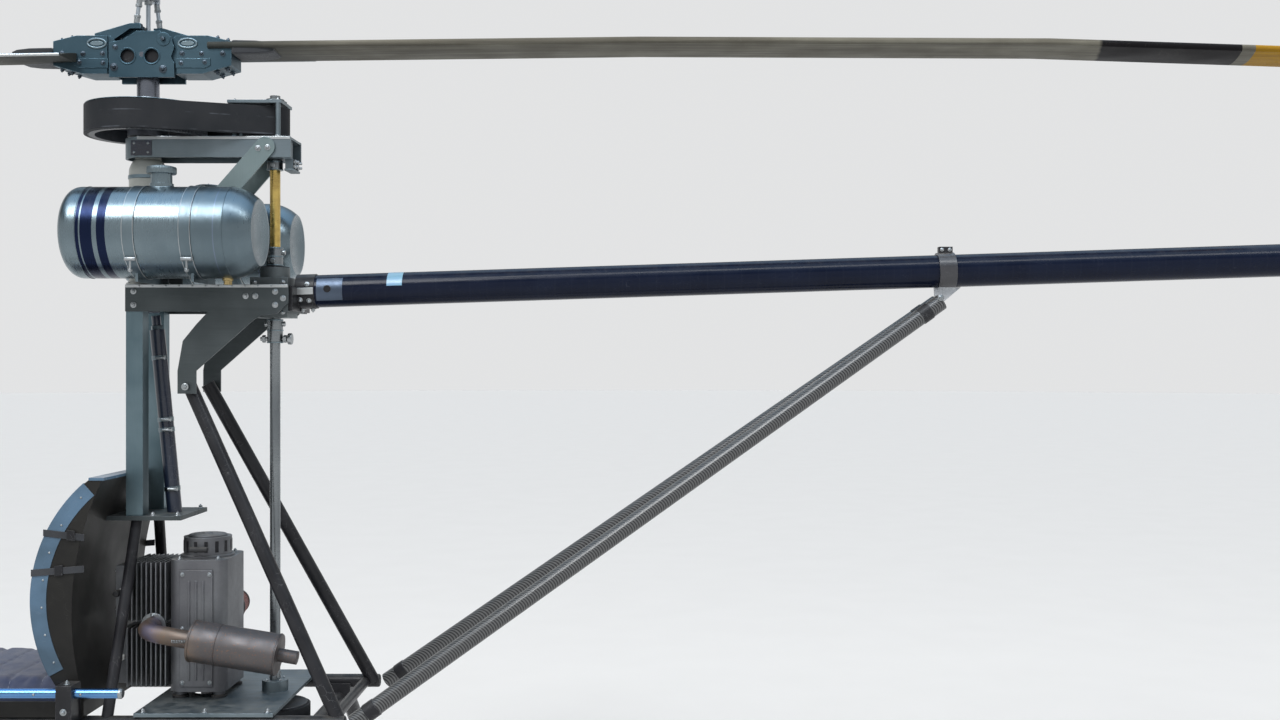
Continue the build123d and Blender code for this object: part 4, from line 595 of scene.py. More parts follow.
@dataclass(frozen=True)
class BladePaint(Paint):
    """Weathered blade paint: painted shade darkening the root, streaks along the span, a slanted black band and a
    bright tip.
    """

    band: Pair = (2229, 2552)
    tip_start: float = 2583
    slant: float = 0.24
    # Radii in metres over which the painted shade at the root fades out.
    root: Pair = (0.2, 0.46)

    def tone(self, graph: Graph, position: Socket, colour: Socket) -> Socket:
        """Lay streaks, painted shade near the root, band and tip over the paint."""
        axes = graph.axes(position)
        reach = graph.less(axes[0], MAST_X / 1000)
        lean = graph.times(graph.times(axes[1], graph.math("SIGN", reach)), -self.slant)
        radius = graph.plus(graph.math("ABSOLUTE", reach), lean)
        stretch = graph.vector("MULTIPLY", position, (1.2, 26, 40))[0]
        streak = graph.spread(graph.noise(stretch, 3, 6), (0.38, 0.66))
        colour = graph.mix(streak, colour, (0.105, 0.097, 0.079))
        # Painted shade: darker towards the root, by the hub.
        colour = graph.mix(graph.spread(radius, self.root, (0.8, 0)), colour, (0.02, 0.026, 0.028))
        ragged = graph.plus(radius, graph.times(graph.noise(position, 30), 0.012))
        start, end = (place / 1000 for place in self.band)
        band = graph.times(graph.spread(ragged, (start, start + 0.008)), graph.math("LESS_THAN", radius, end))
        colour = graph.mix(band, colour, (0.009, 0.008, 0.009))
        tip = graph.math("GREATER_THAN", radius, self.tip_start / 1000)
        return graph.mix(tip, colour, graph.mix(streak, (0.4, 0.22, 0.015), (0.27, 0.14, 0.012)))


@dataclass(frozen=True)
class BoomPaint(Paint):
    """Gloss navy boom tube with faint laid bands."""

    def tone(self, graph: Graph, position: Socket, colour: Socket) -> Socket:
        """Lay the wrap lines along the tube."""
        wrap = graph.math("SINE", graph.times(graph.axes(position)[0], 160))
        return graph.mix(graph.spread(wrap, (0.96, 1), (0, 0.1)), colour, (0.03, 0.035, 0.05))


@dataclass(frozen=True)
class BeltRubber(Paint):
    """Belt rubber with thin light lines near its top and bottom edges: painted highlights."""

    # Heights of the painted highlight lines, near the belt's edges.
    lines: Pair = (1921, 1959)

    def tone(self, graph: Graph, position: Socket, colour: Socket) -> Socket:
        """Lay the painted highlight lines round the belt."""
        height = graph.axes(position)[2]
        broken = graph.spread(graph.noise(position, 14, 4), (0.46, 0.62))
        for place in self.lines:
            away = graph.math("ABSOLUTE", graph.less(height, place / 1000))
            line = graph.times(graph.spread(away, (0.0006, 0.0018), (1, 0)), broken)
            colour = graph.mix(line, colour, (0.09, 0.1, 0.115))
        return colour


@dataclass(frozen=True)
class BracketPaint(Paint):
    """Black clamp ring whose hanging tabs are bare metal."""

    edge_height: float = 1566

    def tone(self, graph: Graph, position: Socket, colour: Socket) -> Socket:
        """Leave the tabs under the boom bare."""
        span = ((self.edge_height - 1) / 1000, self.edge_height / 1000)
        return graph.mix(graph.spread(graph.axes(position)[2], span, (1, 0)), colour, (0.56, 0.58, 0.6))


@dataclass(frozen=True)
class Carbon(Finish):
    """Woven carbon under clear resin."""

    pitch: float = 0.0095

    def looks(self, graph: Graph, position: Socket, effects: Effects) -> Looks:
        """What feeds the shader."""
        weave = graph.group(effects.weave, Position=position, Pitch=self.pitch)
        dust = graph.group(effects.dust, Position=position, Amount=0.16)[0]
        colour = graph.mix(weave["Mask"], (0.007, 0.007, 0.009), (0.105, 0.106, 0.105))
        return {"Base Color": graph.mix(dust, colour, self.dirt),
                "Roughness": graph.spread(weave["Mask"], to=(0.32, 0.5)),
                "Normal": graph.bump(0.15, 0.0004, weave["Height"]), "Coat Weight": 0.35, "Coat Roughness": 0.08}


@dataclass(frozen=True)
class Cloth(Finish):
    """Woven cloth with a soft sheen and worn, dusty crowns."""

    colour: Colour = (0.018, 0.03, 0.085)
    worn: Colour = (0.05, 0.065, 0.12)
    pitch: float = 0.0022
    depth: float = 0.5
    dirt: ClassVar[Colour] = (0.33, 0.3, 0.26)

    def looks(self, graph: Graph, position: Socket, effects: Effects) -> Looks:
        """What feeds the shader."""
        weave = graph.group(effects.weave, Position=position, Pitch=self.pitch)["Height"]
        patches = graph.group(effects.stain, Position=position, Scale=7)["Patches"]
        dust = graph.group(effects.dust, Position=position, Amount=0.22)[0]
        colour = graph.mix(patches, self.colour, self.worn)
        colour = graph.mix(graph.times(weave, 0.4), colour, self.worn)
        height = graph.plus(weave, graph.times(patches, 0.8))
        return {"Base Color": graph.mix(dust, colour, self.dirt), "Roughness": graph.spread(weave, to=(0.78, 0.95)),
                "Normal": graph.bump(self.depth, 0.0008, height), "Sheen Weight": 0.25}


@dataclass(frozen=True)
class HotSteel(Finish):
    """Exhaust steel, straw and blue near the ports and sooty further on."""

    def looks(self, graph: Graph, position: Socket, effects: Effects) -> Looks:
        """What feeds the shader."""
        stain = graph.group(effects.stain, Position=position, Scale=16)
        edges = graph.group(effects.edges, Amount=0.3)
        drift = graph.plus(graph.axes(position)[0], graph.times(stain["Patches"], 0.05))
        heat = graph.spread(drift, ((MAST_X + 20) / 1000, (MAST_X + 210) / 1000))
        colour = graph.mix(heat, (0.3, 0.2, 0.12), (0.12, 0.11, 0.11))
        blue = graph.times(graph.spread(heat, (0.2, 0.4)), graph.spread(heat, (0.4, 0.62), (1, 0)))
        colour = graph.mix(graph.times(blue, 0.6), colour, (0.1, 0.12, 0.24))
        return {"Base Color": graph.mix(graph.times(stain["Spots"], 0.7), colour, (0.2, 0.09, 0.045)),
                "Roughness": graph.spread(stain["Patches"], to=(0.38, 0.62)),
                "Metallic": graph.spread(stain["Spots"], to=(0.85, 0.2)),
                "Normal": graph.bump(0.25, 0.0006, stain["Spots"], Normal=edges["Normal"])}


@dataclass(frozen=True)
class Pane(Finish):
    """Clear instrument glass."""

    def looks(self, graph: Graph, position: Socket, effects: Effects) -> Looks:
        """What feeds the shader."""
        smear = graph.group(effects.stain, Position=position, Scale=40)["Patches"]
        return {"Base Color": (0.97, 0.98, 0.98, 1), "Roughness": graph.spread(smear, to=(0.02, 0.09)),
                "Transmission Weight": 1, "IOR": 1.3}


ALUMINIUM = Metal("bare_aluminium_sheet", "bare_aluminium", (0.5, 0.53, 0.56), (0.34, 0.38, 0.42), dust=0.15)
# Posts, beam and bars are darker, blue-tinted copies of bare aluminium: painted shade and painted sky reflection, the
# bars less shaded than the beam.
POST = Metal("drawn_post_aluminium", "bare_aluminium", (0.175, 0.238, 0.265), (0.1, 0.148, 0.17), 0.36,
             Grain.DRAWN_UPRIGHT, 700, 0.15, edge=2.2)
BEAM = Metal("rolled_beam_aluminium", "bare_aluminium", (0.21, 0.25, 0.272), (0.13, 0.162, 0.18), 0.4,
             Grain.DRAWN_FORE_AFT, 500, 0.15, dust=0.3, edge=2.2)
BAR = Metal("brushed_bar_aluminium", "bare_aluminium", (0.24, 0.3, 0.305), (0.165, 0.212, 0.218), 0.38,
            Grain.DRAWN_UPRIGHT, 500, 0.15, edge=1.9)
CREAM = Paint("cream_housing_paint", "bare_aluminium", (0.43, 0.44, 0.4), (0.31, 0.32, 0.29), (0.5, 0.51, 0.53),
              0.45, 0.15, 0.1)
# Tank, straps and caps are darkened, blue-tinted copies of the tank aluminium: painted shade and painted sky
# reflection.
TANK = TankMetal("spun_tank_aluminium", "tank_aluminium", (0.2, 0.25, 0.275), (0.125, 0.165, 0.188), 0.25,
                 Grain.TURNED_FORE_AFT, 900, 0.02, dust=0.12, rub=0.2)
STRAP = Metal("tank_strap_aluminium", "tank_aluminium", (0.19, 0.238, 0.262), (0.12, 0.158, 0.18), 0.3,
              Grain.TURNED_FORE_AFT, 900, 0.03, dust=0.12, edge=2)
CAP = Metal("turned_cap_aluminium", "tank_aluminium", (0.23, 0.28, 0.3), (0.13, 0.16, 0.178), 0.3,
            Grain.TURNED_UPRIGHT, 900, 0.12, edge=2)
# The hub's dark, blue-tinted colours are painted shade and painted sky reflection; the hub bolts are a shaded copy of
# the zinc fasteners.
HUB = Metal("machined_hub_aluminium", "hub_aluminium", (0.074, 0.122, 0.152), (0.038, 0.07, 0.092), 0.38,
            Grain.DRAWN_FORE_AFT, 600, 0.12, rub=1, edge=3.4)
HUB_LIGHT = Metal("turned_hub_rings", "hub_aluminium", (0.24, 0.31, 0.34), (0.15, 0.2, 0.23), 0.32,
                  Grain.EVEN, 700, 0.1, rub=0.6, edge=2)
HUB_BOLT = Metal("shaded_hub_bolts", "hub_aluminium", (0.075, 0.095, 0.115), (0.04, 0.05, 0.062), 0.34, Grain.EVEN,
                 700, 0.1, rub=0.9, edge=4)
LIP = Metal("worn_edge_aluminium", "bare_aluminium", (0.56, 0.58, 0.58), (0.42, 0.44, 0.45), 0.3,
            Grain.DRAWN_FORE_AFT, 600, 0.1)
SLEEVE = Metal("grey_boom_sleeve", "bare_aluminium", (0.108, 0.137, 0.185), (0.068, 0.087, 0.12), 0.36,
               Grain.DRAWN_ACROSS, 600, 0.1, edge=2)
SKID = Metal("scuffed_skid_aluminium", "bare_aluminium", (0.42, 0.44, 0.46), (0.28, 0.3, 0.32), 0.4,
             Grain.DRAWN_FORE_AFT, 500, 0.2, dust=0.5)
DRIVE = DriveMetal("plated_drive_shaft", "plated_steel", (0.27, 0.29, 0.3), (0.16, 0.175, 0.185), 0.24,
                   Grain.TURNED_UPRIGHT, 700, 0.03, dust=0.08)
CASE = Metal("cast_gearbox_aluminium", "hub_aluminium", (0.2, 0.225, 0.23), (0.12, 0.135, 0.14), 0.5,
             Grain.EVEN, 380, 0.4, 0.85, 0.3, edge=2.2)
# Shaft colour darkened and tinted blue: painted shade and painted sky reflection.
SHAFT = Metal("ground_shaft_steel", "shaft_steel", (0.2, 0.215, 0.25), (0.12, 0.13, 0.155), 0.22,
              Grain.TURNED_UPRIGHT, 700, 0.03, dust=0.08)
PLATED = Metal("gold_plated_steel", "plated_steel", (0.6, 0.45, 0.18), (0.42, 0.32, 0.15), 0.26,
               Grain.TURNED_UPRIGHT, 900, 0.05, dust=0.1)
FASTENER = Metal("zinc_fasteners", "plated_steel", (0.42, 0.44, 0.45), (0.28, 0.3, 0.31), 0.32, Grain.EVEN, 700,
                 0.08, rub=0.8, edge=1.7)
# A darkened copy of the plate aluminium: painted shade.
DARK_PLATE = Metal("shaded_frame_plate", "dark_plate", (0.094, 0.108, 0.112), (0.057, 0.067, 0.07), 0.46,
                   Grain.DRAWN_FORE_AFT, 420, 0.15, 0.8, 0.25, edge=2.8)
NAVY = Paint("dark_navy_paint", "black_paint", (0.008, 0.014, 0.032), (0.016, 0.024, 0.045), roughness=0.3, coat=0.3)
RED = Paint("red_switch_plastic", "black_paint", (0.42, 0.02, 0.015), (0.3, 0.015, 0.01), (0.2, 0.02, 0.02), 0.4)
BLACK = Paint("black_frame_paint", "black_paint", (0.011, 0.011, 0.013), (0.024, 0.024, 0.027), roughness=0.38,
              coat=0.08, dust=0.15, gloss=0.22)
SPROCKET = Paint("black_anodised_sprocket", "sprocket_black", (0.024, 0.028, 0.036), (0.045, 0.05, 0.06),
                 roughness=0.38, coat=0, rub=0.8)
RUBBER = BeltRubber("belt_rubber", "belt_rubber", (0.012, 0.014, 0.017), (0.024, 0.025, 0.028), (0.07, 0.07, 0.07),
                    0.6, 0, 0.4, 260, 0.3, 0.12, 0.2)
GRIP = Paint("grip_rubber", "belt_rubber", (0.013, 0.013, 0.014), (0.025, 0.025, 0.026), (0.06, 0.06, 0.06), 0.62, 0,
             0.8, 180, 0.3)
BLADE = BladePaint("weathered_blade_paint", "blade_skin", (0.2, 0.19, 0.152), (0.14, 0.13, 0.102),
                   (0.3, 0.285, 0.25), 0.58, 0, 0.1, 300, 0.6, 0.1, 0.08)
BOOM = BoomPaint("gloss_boom_skin", "boom_skin", (0.004, 0.007, 0.02), (0.006, 0.01, 0.026), (0.1, 0.11, 0.14),
                 0.2, 0.07, 0.02, 300, 0.1, 0.06, 0.12)
CARBON = Carbon("woven_carbon_strut", "carbon_strut")
# The seat shell in two copies: the dark one is painted shade on its sides and back, the pale blue band is painted sky
# light on its front edges and top.
SHELL = Paint("shaded_seat_shell", "seat_skin", (0.024, 0.023, 0.021), (0.014, 0.0135, 0.013), (0.1, 0.1, 0.09), 0.45,
              0.04, 0.1, 240, 0.3, 0.1, 0.14)
SHELL_BAND = Paint("sky_lit_seat_edge", "seat_skin", (0.1, 0.175, 0.26), (0.055, 0.095, 0.135),
                   (0.3, 0.35, 0.4), 0.32, 0.15, 0.05, 240, 0.3, 0.12, 0.3)
CLOTH = Cloth("navy_seat_cloth", "seat_fabric")
PIPING = Cloth("navy_piping_cloth", "seat_fabric", (0.03, 0.045, 0.11), (0.07, 0.085, 0.14), 0.0016, 0.4)
THREAD = Cloth("pale_seat_thread", "seat_fabric", (0.22, 0.24, 0.3), (0.3, 0.32, 0.38), 0.0012, 0.3)
FILTER = Cloth("filter_gauze", "seat_fabric", (0.2, 0.05, 0.04), (0.28, 0.1, 0.08), 0.0016, 0.6)
WEBBING = Cloth("black_strap_webbing", "seat_fabric", (0.014, 0.016, 0.02), (0.04, 0.042, 0.048), 0.003, 0.8)
TAPE = Cloth("black_root_tape", "seat_fabric", (0.01, 0.012, 0.015), (0.03, 0.033, 0.038), 0.0018, 0.4)
POD = Paint("moulded_pod_plastic", "pod_plastic", (0.03, 0.03, 0.032), (0.045, 0.045, 0.047), (0.12, 0.12, 0.12),
            0.55, 0, 0.5, 900, 0.2)
CAST = Metal("cast_engine_aluminium", "engine_cast", (0.24, 0.25, 0.26), (0.15, 0.15, 0.16), 0.52, Grain.EVEN, 420,
             0.5, 0.9, 0.35, edge=1.8)
HOT = HotSteel("heated_exhaust_steel", "exhaust_steel")
POLISHED = Metal("polished_lever_tube", "polished_tube", (0.16, 0.33, 0.6), (0.1, 0.24, 0.48), 0.16,
                 Grain.DRAWN_FORE_AFT, 700, 0.03, dust=0.06)
BRACKET = BracketPaint("black_strut_bracket", "bare_aluminium")
FIN = Paint("satin_fin_skin", "fin_skin", (0.56, 0.58, 0.59), (0.48, 0.5, 0.51), (0.36, 0.37, 0.39), 0.32, 0.3,
            0.05, 240, 0.3, 0.15)
PALE = Paint("pale_switch_plastic", "fin_skin", (0.62, 0.62, 0.6), (0.52, 0.52, 0.5), (0.36, 0.36, 0.36), 0.4, 0.1)
PATCH = Paint("pale_blue_patch", "fin_skin", (0.17, 0.31, 0.55), (0.2, 0.42, 0.52), (0.3, 0.36, 0.4), 0.3, 0.3)
GLASS = Pane("instrument_glass", "pod_plastic")


class FinishShop:
    """Makes each finish once and hands it out."""

    def __init__(self) -> None:
        """Build the shared effects."""
        self.effects = Effects()
        self.made: dict[str, bpy.types.Material] = {}

    def material(self, finish: Finish) -> bpy.types.Material:
        """The material of a finish, made at its first use."""
        if finish.name not in self.made:
            self.made[finish.name] = finish.build(self.effects)
        return self.made[finish.name]


@dataclass
class Assembly:
    """A sub-assembly of the machine, with the calls that place and dress its pieces."""

    shop: FinishShop
    body: Body = Body.AIRFRAME
    wear: ClassVar[Mapping[Finish, str]] = {}

    def place(self, name: str, form: Form, finish: Finish = FASTENER, bevel: float = 0) -> None:
        """Make a piece of a form.

        Args:
            name: Name of the piece.
            form: Its mesh.
            finish: Its finish.
            bevel: Width of its rounded edges in millimetres.
        """
        self.finish_piece(form.placed(name), finish, bevel)

    def finish_piece(self, piece: Thing, finish: Finish, bevel: float = 0) -> None:
        """Dress an object, round its edges and let it ride on the sub-assembly's body."""
        piece.data.materials.append(self.shop.material(finish))
        if bevel:
            rounding = piece.modifiers.new("rounded_edges", "BEVEL")
            rounding.width = bevel / 1000
            rounding.segments = 2
            rounding.limit_method = "ANGLE"
        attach(piece, self.body.value)
        LOG.info("%s placed on %s", piece.name, self.body.value)

    def build(self) -> None:
        """Dress the CAD nodes, then make the fittings."""
        for finish, names in self.wear.items():
            for name in names.split():
                NODES[name].data.materials.clear()
                NODES[name].data.materials.append(self.shop.material(finish))
                LOG.info("%s dressed in %s", name, finish.name)
        self.fittings()

    def fittings(self) -> None:
        """Make the pieces that the solids leave out."""
        raise NotImplementedError


@dataclass
class RotorHead(Assembly):
    """Hub, grips, blades, spider and links on top of the mast."""

    body: Body = Body.ROTOR
    height: float = 2103
    plate_face: float = 43
    grip_face: float = 39
    wear: ClassVar = {HUB: "hub_plates blade_grips", BLADE: "blade_aft blade_front", ALUMINIUM: "control_spider",
                      SHAFT: "rotor_shaft"}

    def fittings(self) -> None:
        """Make the pieces that the solids leave out."""
        self.plate_fittings()
        self.hub_middle()
        self.grip_fittings()
        self.blade_roots()
        self.link_ends()

    def plate_fittings(self) -> None:
        """Corner bolts, a boss and the rims of the holes on both side plates."""
        bolts, rims = Form(), Form()
        for side in SIDES:
            way, face = across(side), side * self.plate_face
            for x, z, size in ((-64, -30, 10), (49, -34.6, 10), (50, 35, 10), (-61, 16.2, 7)):
                bolts.bolt((x, face, self.height + z), way, size)
            for x in (-33, 23):
                rims.turned(((16.2, -0.3), (20, -0.3), (20, 1.2), (18.8, 2), (16.6, 1.2)),
                            (x, face, self.height - 4), way, 36, True)
            rims.turned(((16, -0.3), (16, 1.4), (15, 2), (11, 2)), (50, face, self.height + 35), way, 30)
        self.place("hub_plate_bolts", bolts, HUB_BOLT)
        self.place("hub_hole_rims", rims, HUB, 0.3)

    def hub_middle(self) -> None:
        """The stop block on top between the plates, and dark discs behind their windows as painted shade inside the
        holes.
        """
        outline = ((-74, 30.4), (-27, 30.4), (-27, 34.4), (-7, 34.4), (-7, 72), (-30, 72), (-74, 49))
        caps = Form()
        # Dark discs inside the plate holes: painted shade.
        for side, x in product(SIDES, (-33, 23)):
            caps.turned(((15.8, 0), (15.8, 0.9), (14.9, 1.4), (8, 1.4)), (x, side * 35.2, self.height - 4),
                        across(side), 36)
        self.place("hub_stop_block", Form().plate(outline, 14.5, -29, self.height), HUB, 1.2)
        screws = Form().side_bolts(14.4, 5, (-34, self.height + 44), (-60, self.height + 44))
        self.place("hub_stop_screws", screws, HUB_BOLT)
        self.place("hub_hole_shade_discs", caps, BLACK)

    def grip_fittings(self) -> None:
        """Oval bosses, clamp strips and side bolts of both grips, and the bolts through the blade roots."""
        bosses, strips, bolts, roots = Form(), Form(), Form(), Form()
        low = ((78, -31), (146, -31), (158, -25), (158, -9), (78, -9))
        for end, side in product(SIDES, SIDES):
            face = side * self.grip_face
            bosses.tube([(end * (105 + 21 * cos(turn)), face + side * 0.8, self.height + 26 + 10.5 * sin(turn))
                         for turn in turns(36)], 2.6, (0, 1, 0), 10, True)
            bosses.plate([(end * (105 + 15 * cos(turn)), 26 + 5.5 * sin(turn)) for turn in turns(24)], face,
                         side * 1.6, self.height)
            strips.plate([(end * x, z) for x, z in low], face, side * 2, self.height)
            for x, z, size, lift in ((92, 2.5, 6.5, 0), (137, 2, 6.5, 0), (90, -20, 6, 2), (145, -18, 6, 2),
                                     (186, 2, 7, 0)):
                bolts.bolt((end * x, face + side * lift, self.height + z), across(side), size)
        for end, x, y in product(SIDES, (168, 192), both(20)):
            roots.bolt((end * x, y, self.height + 44 - 0.2444 * (x - 152)), (end * 0.238, 0, 0.971), 8)
            roots.bolt((end * x, y, self.height - 44 + 0.2836 * (x - 139)), (end * 0.273, 0, -0.962), 8)
        self.place("grip_oval_bosses", bosses, HUB_LIGHT)
        self.place("grip_clamp_strips", strips, HUB, 0.5)
        self.place("grip_side_bolts", bolts, HUB_BOLT)
        self.place("blade_root_bolts", roots, HUB_BOLT)

    def blade_roots(self) -> None:
        """Taped doublers on the blade roots and a bright strip along each trailing edge, partly a worn edge and partly
        a painted highlight.
        """
        tape, strips = Form(), Form()
        for end, low, high in ((-1, 2083, 2121), (1, 2102, 2139)):
            tape.skin([[(end * reach, (47 - inset) * within(1.25 * cos(turn), 0.93),
                         (low + high) / 2 + ((high - low) / 2 - inset) * within(1.25 * sin(turn), 0.9))
                        for turn in turns(28)]
                       for reach, inset in ((207, 2), (210, 0), (262, 1), (290, 4), (303, 9))])
        for name in ("blade_front", "blade_aft"):
            root, outer = sorted(trailing_edge(name), key=lambda point: abs(point.x))[:2]
            way = (outer - root).normalized()
            root.y += 1.2 if root.y > 0 else -1.2
            # Bright strip: worn edge metal, and also a painted highlight along the edge.
            strips.tube([root + way * reach for reach in (2, 90, 210)], 3.4, steps=12)
        self.place("blade_root_tape", tape, TAPE, 0.8)
        self.place("blade_edge_wear_and_highlight_strips", strips, LIP)

    def link_ends(self) -> None:
        """Rod ends and lock nuts on the pitch links, and the nut under the spider."""
        form = Form()
        for end in SIDES:
            low, high = Vector((end * 18, end * 26, 2177)), Vector((end * 9, end * 26, 2246))
            way = (high - low).normalized()
            for start, axis, gap in ((low, way, 1.5), (high, -way, 11)):
                form.turned(((6.4, 0), (6.4, 12), (5.6, 13)), start + axis * gap, axis, 20)
                form.turned(((8, 13), (8, 18), (7, 19)), start + axis * gap, axis, 6)
        form.bolt((0, 0, 2239.3), Axis.DOWN, 16)
        self.place("link_rod_ends", form)


def trailing_edge(name: str) -> list[Vector]:
    """The points of a blade's trailing edge, one at each of its stations, in millimetres from the mast.

    Args:
        name: The blade's node.

    Returns:
        The outermost point across the machine at each place along the blade.
    """
    found: dict[int, Vector] = {}
    for vertex in NODES[name].data.vertices:
        point = vertex.co * 1000 - Vector((MAST_X, 0, 0))
        place = round(point.x)
        if place not in found or abs(point.y) > abs(found[place].y):
            found[place] = point
    return list(found.values())


@dataclass
class BeltDrive(Assembly):
    """Large sprocket, belt and top plate."""

    body: Body = Body.ROTOR
    sprocket_top: float = 1999
    plate_top: float = 1997
    wear: ClassVar = {SPROCKET: "big_sprocket small_sprocket", RUBBER: "main_belt", BEAM: "top_plate"}

    def fittings(self) -> None:
        """The sprocket's cap bolts, clamp ring and flange, then the plate's nuts, standoff feet and bearing."""
        bolts = Form().bolts([(x, y, self.sprocket_top) for x, y in circle(35.5, 6)], Axis.UP, 7, False)
        ring = Form().turned(((25.6, -0.3), (29.5, -0.3), (29.5, 9), (28.5, 10), (25.6, 10)),
                             (0, 0, self.sprocket_top), Axis.UP, 40, True)
        rim = Form().turned(((124, 0), (138.6, 0), (139.4, 0.9), (138.6, 1.8), (124, 1.8)), (0, 0, 1985.6),
                            Axis.UP, 96, True)
        self.place("sprocket_bolts", bolts)
        self.place("shaft_clamp_ring", ring, ALUMINIUM, 0.4)
        self.place("sprocket_flange", rim, HUB_LIGHT)
        self.body = Body.AIRFRAME
        nuts, feet = Form(), Form()
        for x, y in ((315, 43), (315, -43), (211, 28), (211, -28)):
            nuts.bolt((x, y, self.plate_top), Axis.UP, 7, False)
            feet.turned(((6.3, -0.3), (9, -0.3), (9, 4), (8, 5), (6.3, 5)), (x, y, 1911), Axis.UP, 6, True)
        flange = Form().turned(((14, 0), (27, 0), (27, 3.5), (21, 6), (21, 9), (14, 9)),
                               (297, 0, self.plate_top - 0.2), Axis.UP, 36, True)
        self.place("top_plate_nuts", nuts)
        self.place("standoff_feet", feet)
        self.place("upper_bearing_flange", flange, CASE, 0.5)


@dataclass
class MastFrame(Assembly):
    """Posts, beams, diagonal bars and the frame plates round the mast housing."""

    beam_face: float = 50
    plate_face: float = 94
    wear: ClassVar = {POST: "mast_posts", CREAM: "mast_housing", BEAM: "top_beam", BAR: "diagonal_bars",
                      DARK_PLATE: "frame_plates cross_plates", NAVY: "control_tube"}

    def fittings(self) -> None:
        """Make the pieces that the solids leave out."""
        bolts = Form().side_bolts(55, 7.5, (272, 1884), (294, 1886), (47, 1615), (58, 1629))
        bolts.side_bolts(self.plate_face, 7.5, (255, 1542), (277, 1542), (0, 1553), (0, 1522), (322, 1552),
                         (322, 1522), (340, 1537))
        self.place("frame_bolts", bolts.side_bolts(103, 9, (120, 1336)))
        self.lips()
        self.bearing_plate()
        self.tensioner()
        self.tube_clamps()
        self.base_screws()

    def lips(self) -> None:
        """Bright worn edge strips along the beams' top corners."""
        top, low, rivets = Form(), Form(), Form()
        for side in SIDES:
            outer, face = side * (self.beam_face + 1.4), side * self.plate_face
            top.block((-8, side * 42, 1910.6), (345, outer, 1912.6))
            top.block((-8, outer - side * 1.8, 1905.5), (345, outer, 1911))
            low.block((-18, face, 1561.5), (351, face + side * 1.6, 1568.4))
            for step in range(11):
                rivets.button((14 + step * 30, face + side * 1.5, 1565), across(side), 2.2)
        self.place("top_beam_lip", top, LIP, 0.4)
        self.place("mid_beam_lip", low, LIP, 0.4)
        self.place("beam_rivets", rivets)

    def bearing_plate(self) -> None:
        """Dark blue plates on the sides of the beam's bearing end."""
        plates, screws = Form(), Form()
        for side in SIDES:
            face = side * self.beam_face
            plates.plate(((-22, 1868), (26, 1868), (26, 1903), (-22, 1903)), face, side * 2)
            for x, z in product((-14, 18), (1875, 1896)):
                screws.button((x, face + side * 2, z), across(side), 3.2)
        self.place("bearing_plates", plates, NAVY, 0.5)
        self.place("bearing_plate_screws", screws)

    def tensioner(self) -> None:
        """The belt tensioner under the beam's aft end, with its long screws."""
        block, screws = Form().block((326, -22, 1840), (344, 22, 1864.5)), Form()
        block.block((326, -30, 1836), (348, 30, 1841))
        for base in product((343.5,), both(14), (1847, 1858)):
            screws.turned(((3.2, 0), (3.2, 12), (2.6, 13)), base, Axis.AFT, 14)
            screws.turned(((6.2, 1), (6.2, 5), (5.6, 5.6)), base, Axis.AFT, 6)
        self.place("tensioner_block", block, BEAM, 0.8)
        self.place("tensioner_screws", screws)

    def tube_clamps(self) -> None:
        """Worm-drive clamps round the control tube, and the rod's lock nut."""
        bands, screws, foot = Form(), Form(), Vector((62, 0, 1037))
        way = Vector((-41, 0, 430)).normalized()
        for height in (1096, 1234, 1258, 1402):
            middle = foot + way * ((height - foot.z) / way.z)
            bands.turned(((17.1, -5), (18.3, -5), (18.3, 5), (17.1, 5)), middle, way, 32, True)
            middle += Vector((6, -20.5, 0))
            screws.turned(((4.2, -9), (4.2, 7), (3.2, 8)), middle, Axis.AFT, 14)
            screws.turned(((5, 8), (5, 12), (4.2, 12.6)), middle, Axis.AFT, 6)
        bands.turned(((14, 0), (14, 9), (12.5, 10)), (20.9, 0, 1467.5), way, 6)
        self.place("tube_clamp_bands", bands, CAP)
        self.place("tube_clamp_screws", screws)

    def base_screws(self) -> None:
        """Screws in the foot plate and the housing's flange, and a clamp band round the housing."""
        screws = Form().bolts(product((40, 96), both(82), (1042,)), Axis.UP, 8)
        for base in product(both(34), both(31), (1575.9,)):
            screws.button(base, Axis.UP, 3)
        band = Form().turned(((43.1, -4), (44.6, -4), (44.6, 4), (43.1, 4)), (0, 0, 1822), Axis.UP, 48, True)
        self.place("foot_plate_bolts", screws)
        self.place("housing_band", band, HUB_LIGHT)


